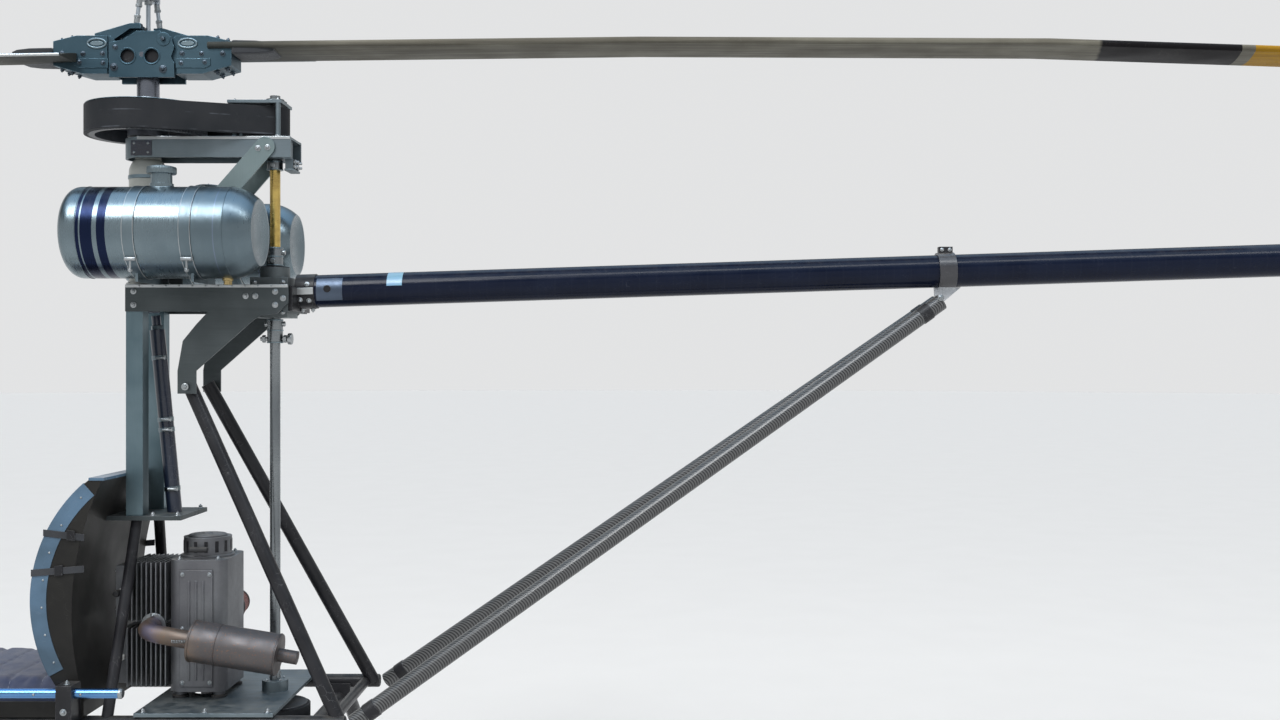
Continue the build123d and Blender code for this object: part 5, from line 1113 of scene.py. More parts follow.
@dataclass
class FuelTanks(Assembly):
    """The two barrel tanks on their saddles."""

    tank_y: float = 165
    tank_z: float = 1679
    radius: float = 101.5
    cap_x: float = 89
    neck: float = 26.6
    strap: float = 103.4
    wear: ClassVar = {TANK: "fuel_tank_left fuel_tank_right", STRAP: "tank_cradle"}

    def fittings(self) -> None:
        """Lids with vents, weld beads, the straps' screws and edges, and a drain under each tank's aft part."""
        lids, vents, welds, barrels, screws, edges, drains = (Form() for _ in range(7))
        for side in SIDES:
            y = side * self.tank_y
            self.lid(lids, y)
            vents.bolt((self.cap_x, y, 1825.2), Axis.UP, 6, False)
            welds.tube([(self.cap_x + u, y + v, self.tank_z + (self.radius ** 2 - v ** 2) ** 0.5)
                        for u, v in circle(self.neck, 40)], 1.7, (0, 0, 1), 8, True)
            for x in (-64.5, 252):
                welds.tube(self.hoop(x, y, self.radius, 96), 0.9, (1, 0, 0), 8, True)
            for x in (50, 172):
                base = Vector((x, side * (self.tank_y + 84), self.tank_z - 64))
                barrels.turned(((4.6, -12), (5, -11), (5, 11), (4.6, 12)), base, Axis.AFT, 18)
                base.z += 2
                screws.turned(((2.6, 0), (2.6, 30), (2, 31)), base, Axis.DOWN, 12)
                screws.turned(((5.4, 24), (5.4, 28.5), (4.8, 29)), base, Axis.DOWN, 6)
                for lip in both(12):
                    edges.tube(self.hoop(x + lip, y, self.strap, 80), 0.8, (1, 0, 0), 6, True)
            base = (236, y, self.tank_z - self.radius + 1)
            drains.turned(((12, 0), (12, 5), (10.5, 6.5)), base, Axis.DOWN, 28)
            drains.turned(((9.5, 6.5), (9.5, 14), (8.5, 15)), base, Axis.DOWN, 6)
        self.place("tank_cap_lids", lids, CAP)
        self.place("tank_cap_vents", vents)
        self.place("tank_weld_beads", welds, TANK)
        self.place("strap_barrels", barrels)
        self.place("strap_screws", screws)
        self.place("strap_edges", edges, LIP)
        self.place("tank_drains", drains, PLATED)

    def lid(self, form: Form, y: float) -> None:
        """A filler's lid with its knurled rim."""
        rim = [(31.1 + 0.9 * (step % 2), turn) for step, turn in enumerate(turns(84))]
        form.skin([[(self.cap_x + radius * share * cos(turn), y + radius * share * sin(turn), z)
                    for radius, turn in rim]
                   for z, share in ((1810.5, 0.99), (1811.5, 1), (1822.5, 1), (1824.4, 0.965))])
        form.turned(((26, 0), (26, 1.4), (24.5, 2.2), (12, 2.2), (11, 1.2)), (self.cap_x, y, 1824.2), Axis.UP, 44)

    def hoop(self, x: float, y: float, radius: float, count: int) -> list[Point]:
        """Points round a tank."""
        return [(x, y + u, self.tank_z + v) for u, v in circle(radius, count)]


@dataclass
class DriveLine(Assembly):
    """The vertical drive shaft with its joints, and the bevel gearbox under it."""

    body: Body = Body.DRIVE
    shaft_x: float = 297
    low_joint: float = 1446
    wear: ClassVar = {DRIVE: "drive_shaft", CASE: "bevel_gearbox"}

    def fittings(self) -> None:
        """Make the pieces that the solids leave out."""
        self.joints()
        self.body = Body.AIRFRAME
        screws = Form().side_bolts(46, 6, *product((262, 327), (1507, 1576)))
        seal = Form().turned(((20, 0), (33, 0), (33, 2), (31, 3), (20, 3)), (self.shaft_x, 0, 1611.6), Axis.UP, 40,
                             True)
        self.place("gearbox_screws", screws.bolt((314, 34, 1588), Axis.UP, 9))
        self.place("gearbox_seal", seal, RUBBER)

    def joints(self) -> None:
        """Cross pins and edge rings of the shaft's collars, and the long bolt through the lowest joint."""
        pins, rings, bolt = Form(), Form(), Form()
        for height, reach, axis in ((1851, 21, Axis.STARBOARD), (1628, 24, Axis.STARBOARD), (1648, 24, Axis.AFT),
                                    (1481, 24, Axis.AFT)):
            base = Vector((self.shaft_x, 0, height)) - Vector(axis.value) * reach
            pins.turned(((5, 0), (6, 1), (6, 2 * reach - 1), (5, 2 * reach)), base, axis, 18)
        for height in (1841.5, 1859.5, 1618, 1638, 1658, 1438, 1466, 1490):
            rings.turned(((18, -1.4), (19.2, -1), (19.2, 1), (18, 1.4)), (self.shaft_x, 0, height), Axis.UP, 32, True)
        for profile, axis, steps in (
                (((4.6, -34), (4.6, 38), (4, 39)), Axis.AFT, 16),
                (((6, 30), (13, 31), (13.5, 33), (13.5, 38), (12.5, 40), (4, 41)), Axis.AFT, 24),
                (((9, 20), (9, 27), (8, 28)), Axis.AFT, 6), (((9, 22), (9, 29), (8, 30)), Axis.FORWARD, 6)):
            bolt.turned(profile, (self.shaft_x, 0, self.low_joint), axis, steps)
        self.place("joint_cross_pins", pins)
        self.place("joint_rings", rings, HUB_LIGHT)
        self.place("joint_cross_bolt", bolt)


@dataclass(frozen=True)
class Pad:
    """A cushion in its own flat space: u across the channels, v along them, w thick."""

    name: str
    node: str
    length: float
    width: float
    depth: float
    channels: tuple[float, ...]
    swell: float
    limits: Point
    corner: ClassVar[float] = 34
    pull: ClassVar[float] = 6
    voxel: ClassVar[float] = 0.006
    pressure: ClassVar[float] = 4
    moments: ClassVar[int] = 20
    fade: ClassVar[float] = 1 / 2.718

    def outline(self, inset: float, count: int = 72) -> list[Pair]:
        """A rounded rectangle whose sides pull in between its corners."""
        half_u, half_v, corner = self.length / 2 - inset, self.width / 2 - inset, max(8, self.corner - inset)
        core, points = Vector((half_u - corner, half_v - corner)), []
        for turn in turns(count, 0.5):
            reach = Vector((cos(turn), sin(turn)))
            u = within(reach.x * 1.6 * half_u, core.x) + corner * reach.x
            v = within(reach.y * 1.6 * half_v, core.y) + corner * reach.y
            far_u, far_v = min(1, abs(u / half_u)), min(1, abs(v / half_v))
            points.append((u - copysign(self.pull * (1 - far_v ** 2) * far_u ** 6, u),
                           v - copysign(self.pull * (1 - far_u ** 2) * far_v ** 6, v)))
        return points

    def base(self) -> Form:
        """The closed form before it swells."""
        return Form().skin([[(u, v, share * self.depth) for u, v in self.outline(inset)]
                            for inset, share in ((14, 0), (4, 0.1), (0, 0.32), (0, 0.6), (5, 0.82), (16, 0.95),
                                                 (44, 1.02), (90, 1.06))])

    def sewn(self, point: Vector) -> Vector:
        """A point of the swollen form with the sewn channels and puckers pressed in."""
        u, v, w = point
        top = max(0, min(1, (w / self.depth - 0.5) * 3))
        edge = max(0, min(1, (self.width / 2 - abs(v)) / 26))
        press = 0
        for place in self.channels:
            near = (u - place) / 7
            press += 6.5 * self.fade ** (near * near)
            press += 0.9 * sin(v / 5.2 + place) * self.fade ** (abs(near) * 0.8)
        return Vector((within(u, self.limits[0]), within(v, self.limits[1]),
                       max(0, min(self.limits[2], w - press * top * edge))))

    def swollen(self) -> bpy.types.Mesh:
        """Remesh the pad evenly and swell it as cloth.

        Returns:
            A mesh in millimetres of the pad's flat space.
        """
        scene = bpy.context.scene
        form = self.base()
        bmesh.ops.recalc_face_normals(form.mesh, faces=form.mesh.faces)
        for vertex in form.mesh.verts:
            vertex.co = vertex.co / 1000
        rough = bpy.data.meshes.new(f"{self.name}_base")
        form.mesh.to_mesh(rough)
        form.mesh.free()
        shape = bpy.data.objects.new(f"{self.name}_base", rough)
        scene.collection.objects.link(shape)
        even = shape.modifiers.new("even", "REMESH")
        even.mode = "VOXEL"
        even.voxel_size = self.voxel
        made = bpy.data.meshes.new_from_object(shape.evaluated_get(bpy.context.evaluated_depsgraph_get()))
        shape.modifiers.clear()
        shape.data = made
        cloth = shape.modifiers.new("cloth", "CLOTH").settings
        cloth.quality = 5
        cloth.use_pressure = True
        cloth.uniform_pressure_force = self.pressure
        cloth.effector_weights.gravity = 0
        for moment in range(1, self.moments + 1):
            scene.frame_set(moment)
        moved = shape.evaluated_get(bpy.context.evaluated_depsgraph_get()).data
        for vertex, after in zip(made.vertices, [point.co.copy() for point in moved.vertices]):
            step = after - vertex.co
            vertex.co += step * min(1, self.swell / 1000 / max(step.length, 1e-6))
        shape.modifiers.clear()
        scene.frame_set(1)
        for vertex in made.vertices:
            vertex.co = vertex.co * 1000
        bpy.data.objects.remove(shape)
        return made


SEAT_PAD = Pad("seat_pad", "seat_cushion", 440, 398, 50, (-146, -73, 0, 73, 146), 16, (226, 205.8, 66.5))
BACK_PAD = Pad("back_pad", "back_cushion", 366, 388, 19, (-126, -63, 0, 63, 126), 9, (187, 201.5, 30))


@dataclass
class Cockpit(Assembly):
    """The open seat with its cushions, the controls and the instrument pod."""

    seat_arc: Point = (162.616, 869.104, 342.014)
    face_arc: Point = (642.045, 844.701, 746.396)
    pod_face: float = -950
    shell_side: float = 216.6
    lever: Pair = (-246, 676)
    wear: ClassVar = {SHELL: "seat_back seat_pan", POLISHED: "collective_lever", ALUMINIUM: "pedals",
                      BLACK: "cyclic_stick instrument_post", POD: "instrument_pod"}

    def fittings(self) -> None:
        """Make the pieces that the solids leave out."""
        self.shell_edge()
        self.shell_straps()
        self.cushion(SEAT_PAD, self.on_pan)
        self.cushion(BACK_PAD, self.on_back)
        self.lever_fittings()
        self.stick_fittings()
        self.gauges()

    def on_pan(self, point: Vector) -> Vector:
        """Lay a pad's point on the seat pan."""
        return Vector((point.x - 324, point.y, point.z + 626.6))

    def on_back(self, point: Vector) -> Vector:
        """Bend a pad's point round the seat back's inner face."""
        centre_x, centre_z, radius = self.face_arc
        turn = asin((890.5 - centre_z) / radius) + point.x / radius
        reach = radius + point.z
        return Vector((centre_x - reach * cos(turn), point.y, centre_z + reach * sin(turn)))

    def edge_x(self, height: float) -> float:
        """Place of the seat back's front edge at a height."""
        centre_x, centre_z, radius = self.seat_arc
        return centre_x - (radius ** 2 - (height - centre_z) ** 2) ** 0.5

    def shell_edge(self) -> None:
        """The band that wraps the seat back's front edges and top, pale blue as painted sky light."""
        band, rivets, heights = Form(), Form(), range(706, 1136, 10)
        section = ((-34, 4), (-34, 5.4), (1, 5.6), (2.4, 4.2), (2.4, -4.2), (1, -5.4), (-12, -5.4), (-12, -4),
                   (0, -4), (0, 4))
        for side in SIDES:
            band.swept([(self.edge_x(z), side * 211, z) for z in reversed(heights)],
                       [(u, side * v) for u, v in section], (0, 1, 0))
            for z in heights[3::6]:
                rivets.button((self.edge_x(z) + 24, side * 216.3, z), across(side), 2.6)
        band.block((-53, -self.shell_side, 1133), (-19, self.shell_side, 1139.5))
        self.place("seat_edge_band", band, SHELL_BAND, 0.8)
        self.place("seat_edge_rivets", rivets)

    def shell_straps(self) -> None:
        """Dark straps round the sides of the seat back, with their slides."""
        straps, slides = Form(), Form()
        for side, (z, lean) in product(SIDES, ((1012, -0.12), (924, 0.1))):
            front = self.edge_x(z) - 3
            straps.plate(((front, z), (front, z + 15), (-62, z + 15 + lean * 90), (-62, z + lean * 90)),
                         side * 216.8, side * 1.6)
            middle, rise = front + 52, z + lean * 42
            slides.plate(((middle, rise - 3), (middle + 18, rise - 3 + lean * 18),
                          (middle + 18, rise + 19 + lean * 18), (middle, rise + 19)), side * 218.2, side * 2.2)
        self.place("seat_side_straps", straps, WEBBING, 0.4)
        self.place("strap_slides", slides, BLACK, 0.6)

    def cushion(self, pad: Pad, seat: Callable[[Vector], Vector]) -> None:
        """Swell, sew and place a cushion, with piping round its edge and stitches along its channels.

        Args:
            pad: Shape and sewing of the cushion.
            seat: Takes a point of the pad's flat space to its place on the seat.
        """
        mesh = pad.swollen()
        for vertex in mesh.vertices:
            vertex.co = pad.sewn(vertex.co)
        tree = BVHTree.FromPolygons([vertex.co for vertex in mesh.vertices],
                                    [tuple(face.vertices) for face in mesh.polygons])
        path = []
        for u, v in pad.outline(0, 96):
            start = Vector((u * 1.4, v * 1.4, pad.depth * 0.62))
            hit = tree.ray_cast(start, (Vector((u * 0.8, v * 0.8, start.z)) - start).normalized())[0]
            path.append(seat(hit if hit else Vector((u, v, start.z))))
        for vertex in mesh.vertices:
            vertex.co = spot(seat(vertex.co))
        piece = bpy.data.objects.new(pad.name, mesh)
        bpy.context.scene.collection.objects.link(piece)
        for face in mesh.polygons:
            face.use_smooth = True
        self.finish_piece(piece, CLOTH)
        fine = piece.modifiers.new("fine_cloth", "SUBSURF")
        fine.levels = fine.render_levels = 1
        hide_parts(pad.node)
        self.place(f"{pad.name}_piping", Form().tube(path, 2.6, (0.05, 0.1, 1), 12, True), PIPING)
        stitches, reach = Form(), int(pad.width / 2 - 30)
        for place, start in product(pad.channels, range(-reach, reach, 8)):
            ends = []
            for v in (start, start + 2.5, start + 5):
                hit = tree.ray_cast(Vector((place, v, 200)), Vector((0, 0, -1)))[0]
                ends.append(seat(Vector((place, v, (hit.z if hit else pad.depth) + 0.35))))
            stitches.tube(ends, 0.55, (1, 0, 0.3), 5)
        self.place(f"{pad.name}_stitches", stitches, THREAD)

    def lever_fittings(self) -> None:
        """Ribbed grip, rivets, end plug and bracket screws of the collective lever."""
        y, z = self.lever
        profile = [(18.3 if step % 2 else 19.6, 3 + step * 4) for step in range(31)]
        grip = Form().turned([(14, -1.5), (17.5, 0), *profile, (17, 129), (12, 130.5)], (-690, y, z), Axis.AFT, 30)
        metal = Form().turned(((10.8, 0), (11.6, 1), (11.6, 6), (9, 9), (3, 10)), (25, y, z), Axis.AFT, 24)
        for x in (-155, -54, -300, -430):
            metal.button((x, -256.8, z), Axis.PORT, 3)
        metal.bolts([(-87, -266, 640), (-87, -266, 615)], Axis.PORT, 8).bolt((-87, y, 696), Axis.UP, 8)
        self.place("collective_grip_sleeve", grip, GRIP)
        self.place("collective_fittings", metal)

    def stick_fittings(self) -> None:
        """Ribbed grip and thumb switches of the cyclic stick, and the ribbed treads of the pedals."""
        switches, treads, foot = Form(), Form(), Vector((-640, 0, 926.5))
        way = Vector((38, 0, 108.5)).normalized()
        profile = [(18.4 + 1.7 * sin(step * 0.75) ** 2, 2 + step * 3.6) for step in range(31)]
        grip = Form().turned([(13, -2), (17.5, -0.5), *profile, (19, 114.5), (15, 117.5), (6, 118.5)], foot, way, 30)
        for y in both(8):
            switches.turned(((4.6, 0), (4.6, 5), (3.8, 6.2), (1.5, 6.6)), foot + way * 118 + Vector((0, y, -0.6)),
                            way, 18)
        clamp = Form().turned(((11.2, -8), (14, -8), (14, 8), (11.2, 8)), (-700, 0, 640), Axis.UP, 24, True)
        for y in both(62):
            treads.block((-1061, y - 40, 562.6), (-1057.6, y + 40, 583.4))
            for rib in range(-36, 45, 9):
                treads.block((-1058, y + rib - 2, 563.5), (-1055, y + rib + 2, 582.5))
        self.place("cyclic_grip_sleeve", grip, GRIP)
        self.place("cyclic_switches", switches, RED)
        self.place("cyclic_clamp", clamp, CAP)
        self.place("pedal_treads", treads, GRIP, 0.5)

    def gauges(self) -> None:
        """Dials with bezels, ticks, needles and glass, and the pod's switches."""
        bezels, dials, marks, glass, switches = (Form() for _ in range(5))
        x = self.pod_face
        for y, z, radius, ticks, needle in ((-62, 968, 34, 30, 2.4), (62, 968, 34, 24, 0.7), (0, 985, 22, 16, 1.7),
                                            (0, 935, 19, 12, 3.4), (-70, 907, 13, 10, 2), (70, 907, 13, 10, 1.2)):
            centre = Vector((x, y, z))
            bezels.turned(((radius, -0.4), (radius + 4.5, -0.4), (radius + 4.5, 4), (radius + 2.5, 6), (radius, 6)),
                          centre, Axis.AFT, 48, True)
            dials.turned(((radius, -0.3), (radius, 1), (radius - 1, 1.2)), centre, Axis.AFT, 40)
            glass.turned(((radius - 0.3, 4), (radius - 0.3, 5)), centre, Axis.AFT, 40)
            hands = [(0.6 + 5.1 * step / (ticks - 1), (0.78 if step % 4 else 0.68, 0.9), 1.4, 0.5, 4)
                     for step in range(ticks)]
            for turn, shares, lift, width, steps in (*hands, (needle, (-0.2, 0.7), 2, 0.9, 5)):
                marks.tube([centre + Vector((lift, sin(turn) * radius * share, -cos(turn) * radius * share))
                            for share in shares], width, (1, 0, 0), steps)
        for y in (-40, -24, 24, 40):
            switches.turned(((5, -0.3), (5, 2.5), (4, 3.2), (2, 3.2), (2.4, 12), (1.4, 13.5)), (x, y, 908),
                            Axis.AFT, 16)
        for base in product((x,), both(104), (896, 1014)):
            switches.button(base, Axis.AFT, 3.4)
        self.place("gauge_bezels", bezels, BLACK, 0.3)
        self.place("gauge_dials", dials, POD)
        self.place("gauge_marks", marks, PALE)
        self.place("gauge_glass", glass, GLASS)
        self.place("pod_switches", switches)


@dataclass
class Powerplant(Assembly):
    """The open engine with its carburettor, exhaust and primary drive."""

    shaft_x: float = 140
    drive_x: float = 297
    plate_top: float = 624
    wear: ClassVar = {BEAM: "engine_plate", CAST: "crankcase cylinders", ALUMINIUM: "carburettor", HOT: "exhaust",
                      SPROCKET: "primary_pulleys", RUBBER: "primary_belt"}

    def fittings(self) -> None:
        """Make the pieces that the solids leave out."""
        self.heads()
        self.case_cover()
        self.starter()
        self.intake()
        self.exhaust_fittings()
        self.mounting()

    def heads(self) -> None:
        """Spark plugs with their caps, and the head bolts."""
        plugs, caps = Form(), Form()
        for z in (716, 866):
            base = (-37, -66.5, z)
            plugs.turned(((9, 0), (9, 7), (8, 8)), base, Axis.PORT, 6)
            plugs.turned(((5.5, 8), (5, 14), (4, 22), (3.6, 24)), base, Axis.PORT, 18)
            caps.turned(((7, 16), (8, 18), (8, 34), (6.5, 37), (3, 38)), base, Axis.PORT, 20)
        bolts = Form().bolts(product((-50,), both(50), (672, 760, 822, 910)), Axis.FORWARD, 7)
        self.place("spark_plugs", plugs, PALE)
        self.place("plug_caps", caps, GRIP)
        self.place("head_bolts", bolts)

    def case_cover(self) -> None:
        """Side covers with ribs and screws on the crankcase."""
        covers, screws, low = Form(), Form(), 652
        for side, top in ((-1, 918), (1, 752)):
            covers.plate(((102, low), (178, low), (178, top), (102, top)), side * 85, side * 4)
            screws.bolts(product((109, 171), (side * 89,), (low + 10, (low + top) / 2, top - 10)), across(side), 5.5)
            for x in (122, 138, 154):
                covers.block((x, side * 89, 668), (x + 5, side * 91.5, top - 24))
        screws.bolts(product((96, 184), both(66), (940,)), Axis.UP, 7)
        self.place("crankcase_covers", covers, CAST, 1.2)
        self.place("crankcase_screws", screws)

    def starter(self) -> None:
        """Slotted starter cover with its flange and pull handle."""
        cover, slots, handle, x = Form(), Form(), Form(), self.shaft_x
        cover.turned(((54.2, 0), (60, 0), (60, 5), (54.2, 6)), (x, 0, 940), Axis.UP, 48, True)
        cover.turned(((44, -0.3), (44, 3), (40, 5), (14, 5), (10, 8), (4, 8.5)), (x, 0, 986), Axis.UP, 48)
        for u, v in circle(1, 14):
            way, side = Vector((u, v, 0)), Vector((-v, u, 0))
            slots.skin([[Vector((x, 0, z)) + side * wide + way * out
                         for wide, out in ((-4, 54), (4, 54), (4, 54.8), (-4, 54.8))] for z in (952, 978)])
        handle.tube([(x, y, 962) for y in (-66, -58, -53)], 4)
        handle.turned(((5, -21), (6.5, -19), (6.5, 19), (5, 21)), (x, -69, 962), Axis.AFT, 20)
        self.place("starter_cover", cover, CAST, 0.6)
        self.place("starter_slots", slots, BLACK)
        self.place("starter_handle", handle, GRIP)

    def intake(self) -> None:
        """Pleated air filter with its end cap and clamp, and the float bowl's screws."""
        ends, screws, x, z = Form(), Form(), self.shaft_x, 791
        rings = []
        for share in (0, 0.25, 0.5, 0.75, 1):
            radii = [41 - 11.5 * share + fold for fold in (-0.4, 1.5)]
            rings.append([(x + radii[step % 2] * cos(turn), 152 + 76 * share, z + radii[step % 2] * sin(turn))
                          for step, turn in enumerate(turns(88))])
        ends.turned(((41, 0), (43.5, 0.5), (43.5, 8), (41, 9), (26, 9)), (x, 144, z), Axis.STARBOARD, 44)
        ends.turned(((31.5, 0), (31.5, 6), (28, 9.5), (8, 11)), (x, 227, z), Axis.STARBOARD, 36)
        screws.turned(((24.2, -5), (25.6, -5), (25.6, 5), (24.2, 5)), (x, 138, z), Axis.STARBOARD, 36, True)
        for height, axis in ((821, Axis.UP), (747, Axis.DOWN)):
            screws.bolts([(124, 115, height), (156, 115, height)], axis, 5, False)
        self.place("filter_pleats", Form().skin(rings), FILTER)
        self.place("filter_ends", ends, GRIP)
        self.place("carburettor_screws", screws)

    def exhaust_fittings(self) -> None:
        """The exhaust's port flange, joint springs and muffler seams."""
        flange, seams, springs = Form(), Form(), Form()
        flange.turned(((20.3, -1), (29, -1), (29, 6), (20.3, 6)), (40, -76, 790), Axis.PORT, 32, True)
        flange.bolts([(40, -82, 766), (40, -82, 814)], Axis.PORT, 6)
        knee, end = Vector((150, -147, 770)), Vector((345, -147, 738))
        way = (end - knee).normalized()
        for reach in (4, 62, 194):
            seams.turned(((46, -1.6), (47.4, -1), (47.4, 1), (46, 1.6)), knee + way * reach, way, 48, True)
        for side in SIDES:
            springs.tube([(112 + step * 0.36, -147 + side * 23.5 + 3.4 * cos(step * 0.62),
                           772.5 + 3.4 * sin(step * 0.62)) for step in range(100)], 0.8, (1, 0.1, 0), 6)
        self.place("exhaust_flange", flange, FASTENER, 0.4)
        self.place("muffler_seams", seams, HOT)
        self.place("exhaust_springs", springs)

    def mounting(self) -> None:
        """Bolts of the engine plate, the engine's feet and the lower bearing."""
        bolts, rubbers = Form().bolts(product((60, 196, 334), both(200), (self.plate_top,)), Axis.UP, 8), Form()
        for base in product((96, 184), both(60), (self.plate_top,)):
            rubbers.turned(((13.2, 0), (18, 0), (18, 5), (13.2, 6.5)), base, Axis.UP, 28, True)
        bolts.bolts([(self.drive_x + u, v, 650) for u, v in circle(22, 4, 0.5)], Axis.UP, 5, False)
        self.place("engine_plate_bolts", bolts)
        self.place("engine_foot_rubbers", rubbers, GRIP)


@dataclass
class TailBoom(Assembly):
    """Boom, collar, struts and their bracket."""

    start: Point = (352, 1556)
    rise: float = 0.032125
    wear: ClassVar = {BOOM: "tail_boom", BLACK: "boom_collar", CARBON: "boom_struts", BRACKET: "strut_bracket"}

    def fittings(self) -> None:
        """Make the pieces that the solids leave out."""
        self.collar_fittings()
        self.bracket_fittings()
        self.strut_sleeves()

    def middle(self, x: float) -> Vector:
        """A point on the boom's centre line."""
        return Vector((x, 0, self.start[1] + (x - self.start[0]) * self.rise))

    def outward(self, angle: float) -> Vector:
        """Direction out of the boom at an angle up from its port side."""
        return Vector((0, -cos(radians(angle)), sin(radians(angle))))

    def patch(self, form: Form, span: Point, radius: float, turn: Point, thickness: float) -> None:
        """Wrap a thin patch round part of the boom, between two angles."""
        low, high = (self.middle(x) for x in span)
        rings = []
        for step in range(13):
            out = self.outward(turn[0] + (turn[1] - turn[0]) * step / 12)
            rings.append([low + out * radius, high + out * radius, high + out * (radius + thickness),
                          low + out * (radius + thickness)])
        form.skin(rings)

    def collar_fittings(self) -> None:
        """The collar's silver stripe and bolts, and the patches on the boom behind it."""
        stripe, sleeve, plugs, pale, bolts = (Form() for _ in range(5))
        self.patch(stripe, (353, 395), 40.4, (-12, 10), 1.2)
        for lean in (0, 180):
            self.patch(sleeve, (401, 461.5), 37.9, (lean - 38, lean + 46), 0.8)
            out = self.outward(lean)
            plugs.turned(((8.6, 0), (8.6, 1), (7, 1.3)), self.middle(427) + out * 38.2 + Vector((0, 0, 3)), out, 28)
        self.patch(pale, (564, 600), 37.9, (8, 92), 0.5)
        for x, angle in ((380, 22), (364, -30), (384, -34)):
            bolts.bolt(self.middle(x) + self.outward(angle) * 40.2, self.outward(angle), 6.5)
        bolts.bolts([self.middle(x) + Vector((0, 0, -40.3)) for x in (362, 386)], Axis.DOWN, 8)
        self.place("collar_stripe", stripe, LIP)
        self.place("sleeve_plates", sleeve, SLEEVE)
        self.place("sleeve_plugs", plugs, BLACK)
        self.place("boom_pale_patch", pale, PATCH)
        self.place("collar_bolts", bolts)

    def bracket_fittings(self) -> None:
        """Clamp ears, screws and the cross bolt of the strut bracket."""
        screws, ears, top = Form(), Form(), self.middle(1865).z + 42.6
        for near, far in ((-9, -2), (2, 9)):
            ears.block((1849, near, top - 2), (1881, far, top + 14))
        for x in (1856, 1874):
            screws.bolt((x, -9, top + 7), Axis.PORT, 5)
            screws.turned(((2.4, 0), (2.4, 24), (2, 25)), (x, -9.5, top + 7), Axis.STARBOARD, 12)
        self.place("bracket_clamp_ears", ears, BLACK, 0.6)
        self.place("bracket_bolts", screws.side_bolts(42.4, 8, (1846, 1540)))

    def strut_sleeves(self) -> None:
        """End sleeves on the carbon struts."""
        form = Form()
        for side in SIDES:
            head, foot = Vector((1851, side * 23.05, 1531.5)), Vector((522, side * 200, 600))
            way = (foot - head).normalized()
            for start in (34, (foot - head).length - 62):
                form.turned(((19, 0), (20.4, 1.5), (20.4, 26.5), (19, 28)), head + way * start, way, 32, True)
        self.place("strut_sleeves", form, BLACK)


@dataclass
class TailGroup(Assembly):
    """Tail gearbox, fin, guard, stabilizer and the tail rotor."""

    hub_x: float = 3320
    hub_z: float = 1651.35
    wear: ClassVar = {CASE: "tail_gearbox", FIN: "vertical_fin stabilizer tail_blades", ALUMINIUM: "tail_guard",
                      HUB: "tail_rotor_hub"}

    def at(self, x: float, y: float, z: float) -> Point:
        """A point measured from the tail rotor's axis."""
        return self.hub_x + x, y, self.hub_z + z

    def fittings(self) -> None:
        """Make the pieces that the solids leave out."""
        self.gearbox_fittings()
        self.fin_fittings()
        self.body = Body.TAIL
        self.rotor_fittings()

    def gearbox_fittings(self) -> None:
        """Cover plate, screws and fins of the tail gearbox."""
        cover, screws = Form(), Form()
        cover.turned(((47, -0.3), (47, 4), (45, 5.5), (22, 5.5)), self.at(0, 46, 0), Axis.STARBOARD, 48)
        screws.bolts([self.at(u, 51.5, v) for u, v in circle(40, 8, 0.5)], Axis.STARBOARD, 5)
        for y in range(-30, 31, 15):
            cover.turned(((52, -1.2), (54.5, -1), (54.5, 1), (52, 1.2)), self.at(0, y, 0), Axis.STARBOARD, 56, True)
        self.place("tail_gearbox_cover", cover, CASE, 0.4)
        self.place("tail_gearbox_screws", screws.bolt(self.at(10, 22, 51), Axis.UP, 9))

    def fin_fittings(self) -> None:
        """Rivet rows on the fin and its mounting screws."""
        rivets = Form()
        for (x0, z0), (x1, z1), inset in (((-50, 52), (112, 345), 12), ((268, 345), (140, 28), -12),
                                          ((-48, -50), (94, -405), 12), ((198, -405), (140, 4), -12)):
            for share in [(step + 0.5) / 13 for step in range(13)]:
                rivets.button(self.at(x0 + (x1 - x0) * share + inset, -62, z0 + (z1 - z0) * share), Axis.PORT, 2.6)
        screws = Form().bolts([self.at(u, -62, v) for u, v in circle(34, 6)], Axis.PORT, 7)
        self.place("fin_rivets", rivets)
        self.place("fin_screws", screws)

    def rotor_fittings(self) -> None:
        """Blade bolts, hub cap screws and the root cuffs of the tail rotor."""
        cuffs = Form()
        bolts = Form().bolts([self.at(x, 134, z) for x, z in product(both(11), (-50, -32, 32, 50))],
                             Axis.STARBOARD, 6).bolt(self.at(0, 148, 0), Axis.STARBOARD, 12)
        for end in SIDES:
            cuffs.skin([[self.at(x, y, end * z) for x, y in ((-24, 104), (24, 104), (24, 132), (-24, 132))]
                        for z in (54, 60)])
        self.place("tail_hub_bolts", bolts)
        self.place("tail_root_cuffs", cuffs, CAP, 0.8)


@dataclass
class LandingGear(Assembly):
    """Rails, legs, bowed tubes and skids."""

    skid_y: float = 750
    wear: ClassVar = {BLACK: "frame_legs side_rails frame_crosses cross_tube_front cross_tube_rear",
                      SKID: "skid_left skid_right", ALUMINIUM: "wheel_lug_left wheel_lug_right"}

    def fittings(self) -> None:
        """Bolts of the clamps at the rails and the skids, and plugs in the ends of the tubes."""
        bolts, plugs = Form(), Form()
        for x, rail_y, low in ((-760, 181.2, 503.6), (405, 200, 550.6)):
            bolts.bolts(product((x - 24, x + 24), both(rail_y), (low,)), Axis.DOWN, 8)
            bolts.bolts([(along, side * self.skid_y + out, 70) for along, side, out
                         in product((x - 35, x + 35), SIDES, both(17))], Axis.UP, 8)
        for side in SIDES:
            plugs.turned(((20, -4), (20, 0), (21.6, 0.4), (21.6, 4), (18, 6)), (780, side * self.skid_y, 22),
                         Axis.AFT, 32)
            plugs.turned(((15.6, 0), (15.6, 3), (13, 5)), (500, side * 200, 600), Axis.AFT, 28)
        self.place("gear_clamp_bolts", bolts)
        self.place("tube_end_plugs", plugs, GRIP)


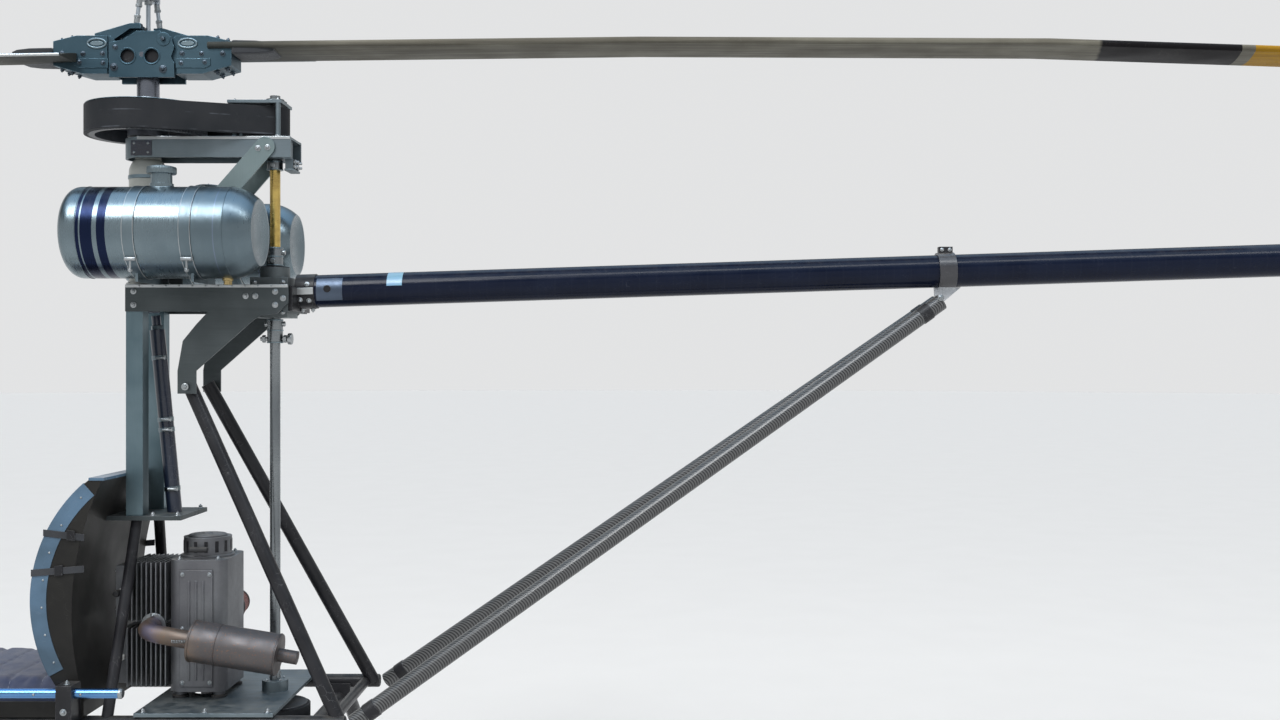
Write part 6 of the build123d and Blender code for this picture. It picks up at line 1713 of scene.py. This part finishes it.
@dataclass
class Studio:
    """Floor, light and the camera at the side of the machine."""

    eye: Point = (1151, -3200, 1396.6)
    focal_pixels: float = 1367
    picture_width: float = 1280
    lift: Colour = (0.19, 0.183, 0.17)

    def build(self) -> None:
        """Set up the camera, the world, the lamps and the floor."""
        bpy.context.scene.view_settings.view_transform = "Standard"
        self.camera()
        self.world()
        self.lamps()
        self.floor()

    def stand(self, data: bpy.types.ID, place: Point, turn: Point) -> Thing:
        """Put a camera or a lamp in the scene, at a place in metres and turned by degrees."""
        made = bpy.data.objects.new(data.name, data)
        made.location = place
        made.rotation_euler = [radians(angle) for angle in turn]
        bpy.context.scene.collection.objects.link(made)
        return made

    def camera(self) -> None:
        """Place the camera at port, level with the mast's middle."""
        data = bpy.data.cameras.new("side_camera")
        data.sensor_width = 36
        data.lens = data.sensor_width * self.focal_pixels / self.picture_width
        data.clip_end = 400
        bpy.context.scene.camera = self.stand(data, spot(self.eye), (90, 0, 0))

    def world(self) -> None:
        """Even soft light, and the white backdrop with a blue top that the camera, metal and glass see."""
        sky = bpy.data.worlds.new("pale_sky")
        sky.use_nodes = True
        bpy.context.scene.world = sky
        graph = Graph(sky.node_tree)
        height = graph.axes(graph.node("TexCoord").outputs["Generated"])[2]
        shown = graph.mix(graph.spread(height, (0.3, 0.42)), (0.765, 0.77, 0.775), (0.2, 0.23, 0.24))
        shown = graph.mix(graph.spread(height, (0.5, 0.86)), shown, (0.85, 1.2, 1.6))
        colour = graph.mix(self.seen(graph), (0.53, 0.56, 0.6), shown)
        glow = graph.node("Background", {"Color": colour, "Strength": 1})
        graph.node("OutputWorld", {"Surface": glow.outputs[0]})

    def seen(self, graph: Graph) -> Socket:
        """Whether the camera looks straight, by a mirror or through glass."""
        rays = graph.node("LightPath").outputs
        straight = graph.plus(rays["Is Camera Ray"], rays["Is Glossy Ray"])
        return graph.plus(straight, rays["Is Transmission Ray"], True)

    def lamps(self) -> None:
        """A soft sun from port and a long strip overhead for the metal."""
        sun = bpy.data.lights.new("soft_sun", "SUN")
        sun.energy = 1.25
        sun.angle = 0.35
        self.stand(sun, (0, 0, 0), (46, 0, -24))
        strip = bpy.data.lights.new("overhead_strip", "AREA")
        strip.shape = "RECTANGLE"
        strip.size, strip.size_y = 9, 0.7
        strip.energy = 150
        self.stand(strip, (0.6, -2.4, 5.6), (24, 0, 0)).visible_camera = False

    def floor(self) -> None:
        """A wide pale floor that meets the backdrop without a line."""
        made = Form().turned(((60000, -8), (60000, 0)), (0, 0, -0.5), Axis.UP, 96).placed("studio_floor")
        material = bpy.data.materials.new("pale_floor")
        material.use_nodes = True
        graph = Graph(material.node_tree)
        position = graph.node("TexCoord").outputs["Object"]
        tone = graph.mix(graph.noise(position, 3, 6), (0.68, 0.68, 0.675), (0.72, 0.72, 0.715))
        lift = graph.mix(self.seen(graph), (0, 0, 0), self.lift)
        shader = graph.node("BsdfPrincipled", {"Base Color": tone, "Roughness": 0.9, "Emission Color": lift,
                                               "Emission Strength": 1, "Specular IOR Level": 0.1})
        graph.node("OutputMaterial", {"Surface": shader.outputs[0]})
        made.data.materials.append(material)
        made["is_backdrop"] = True


def corners() -> list[list[float]]:
    """The lowest and highest corner of what is shown, as plain lists."""
    return [list(corner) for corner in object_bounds()]


def main() -> None:
    """Set up the studio, then build the sub-assemblies in order."""
    logging.basicConfig(level=logging.INFO, format="%(message)s")
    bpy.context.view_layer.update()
    shop = FinishShop()
    Studio().build()
    for assembly in (RotorHead(shop), BeltDrive(shop), MastFrame(shop), FuelTanks(shop), DriveLine(shop),
                     Cockpit(shop), Powerplant(shop), TailBoom(shop), TailGroup(shop), LandingGear(shop)):
        LOG.info("%s", type(assembly).__name__)
        assembly.build()


if __name__ == "__main__":
    main()
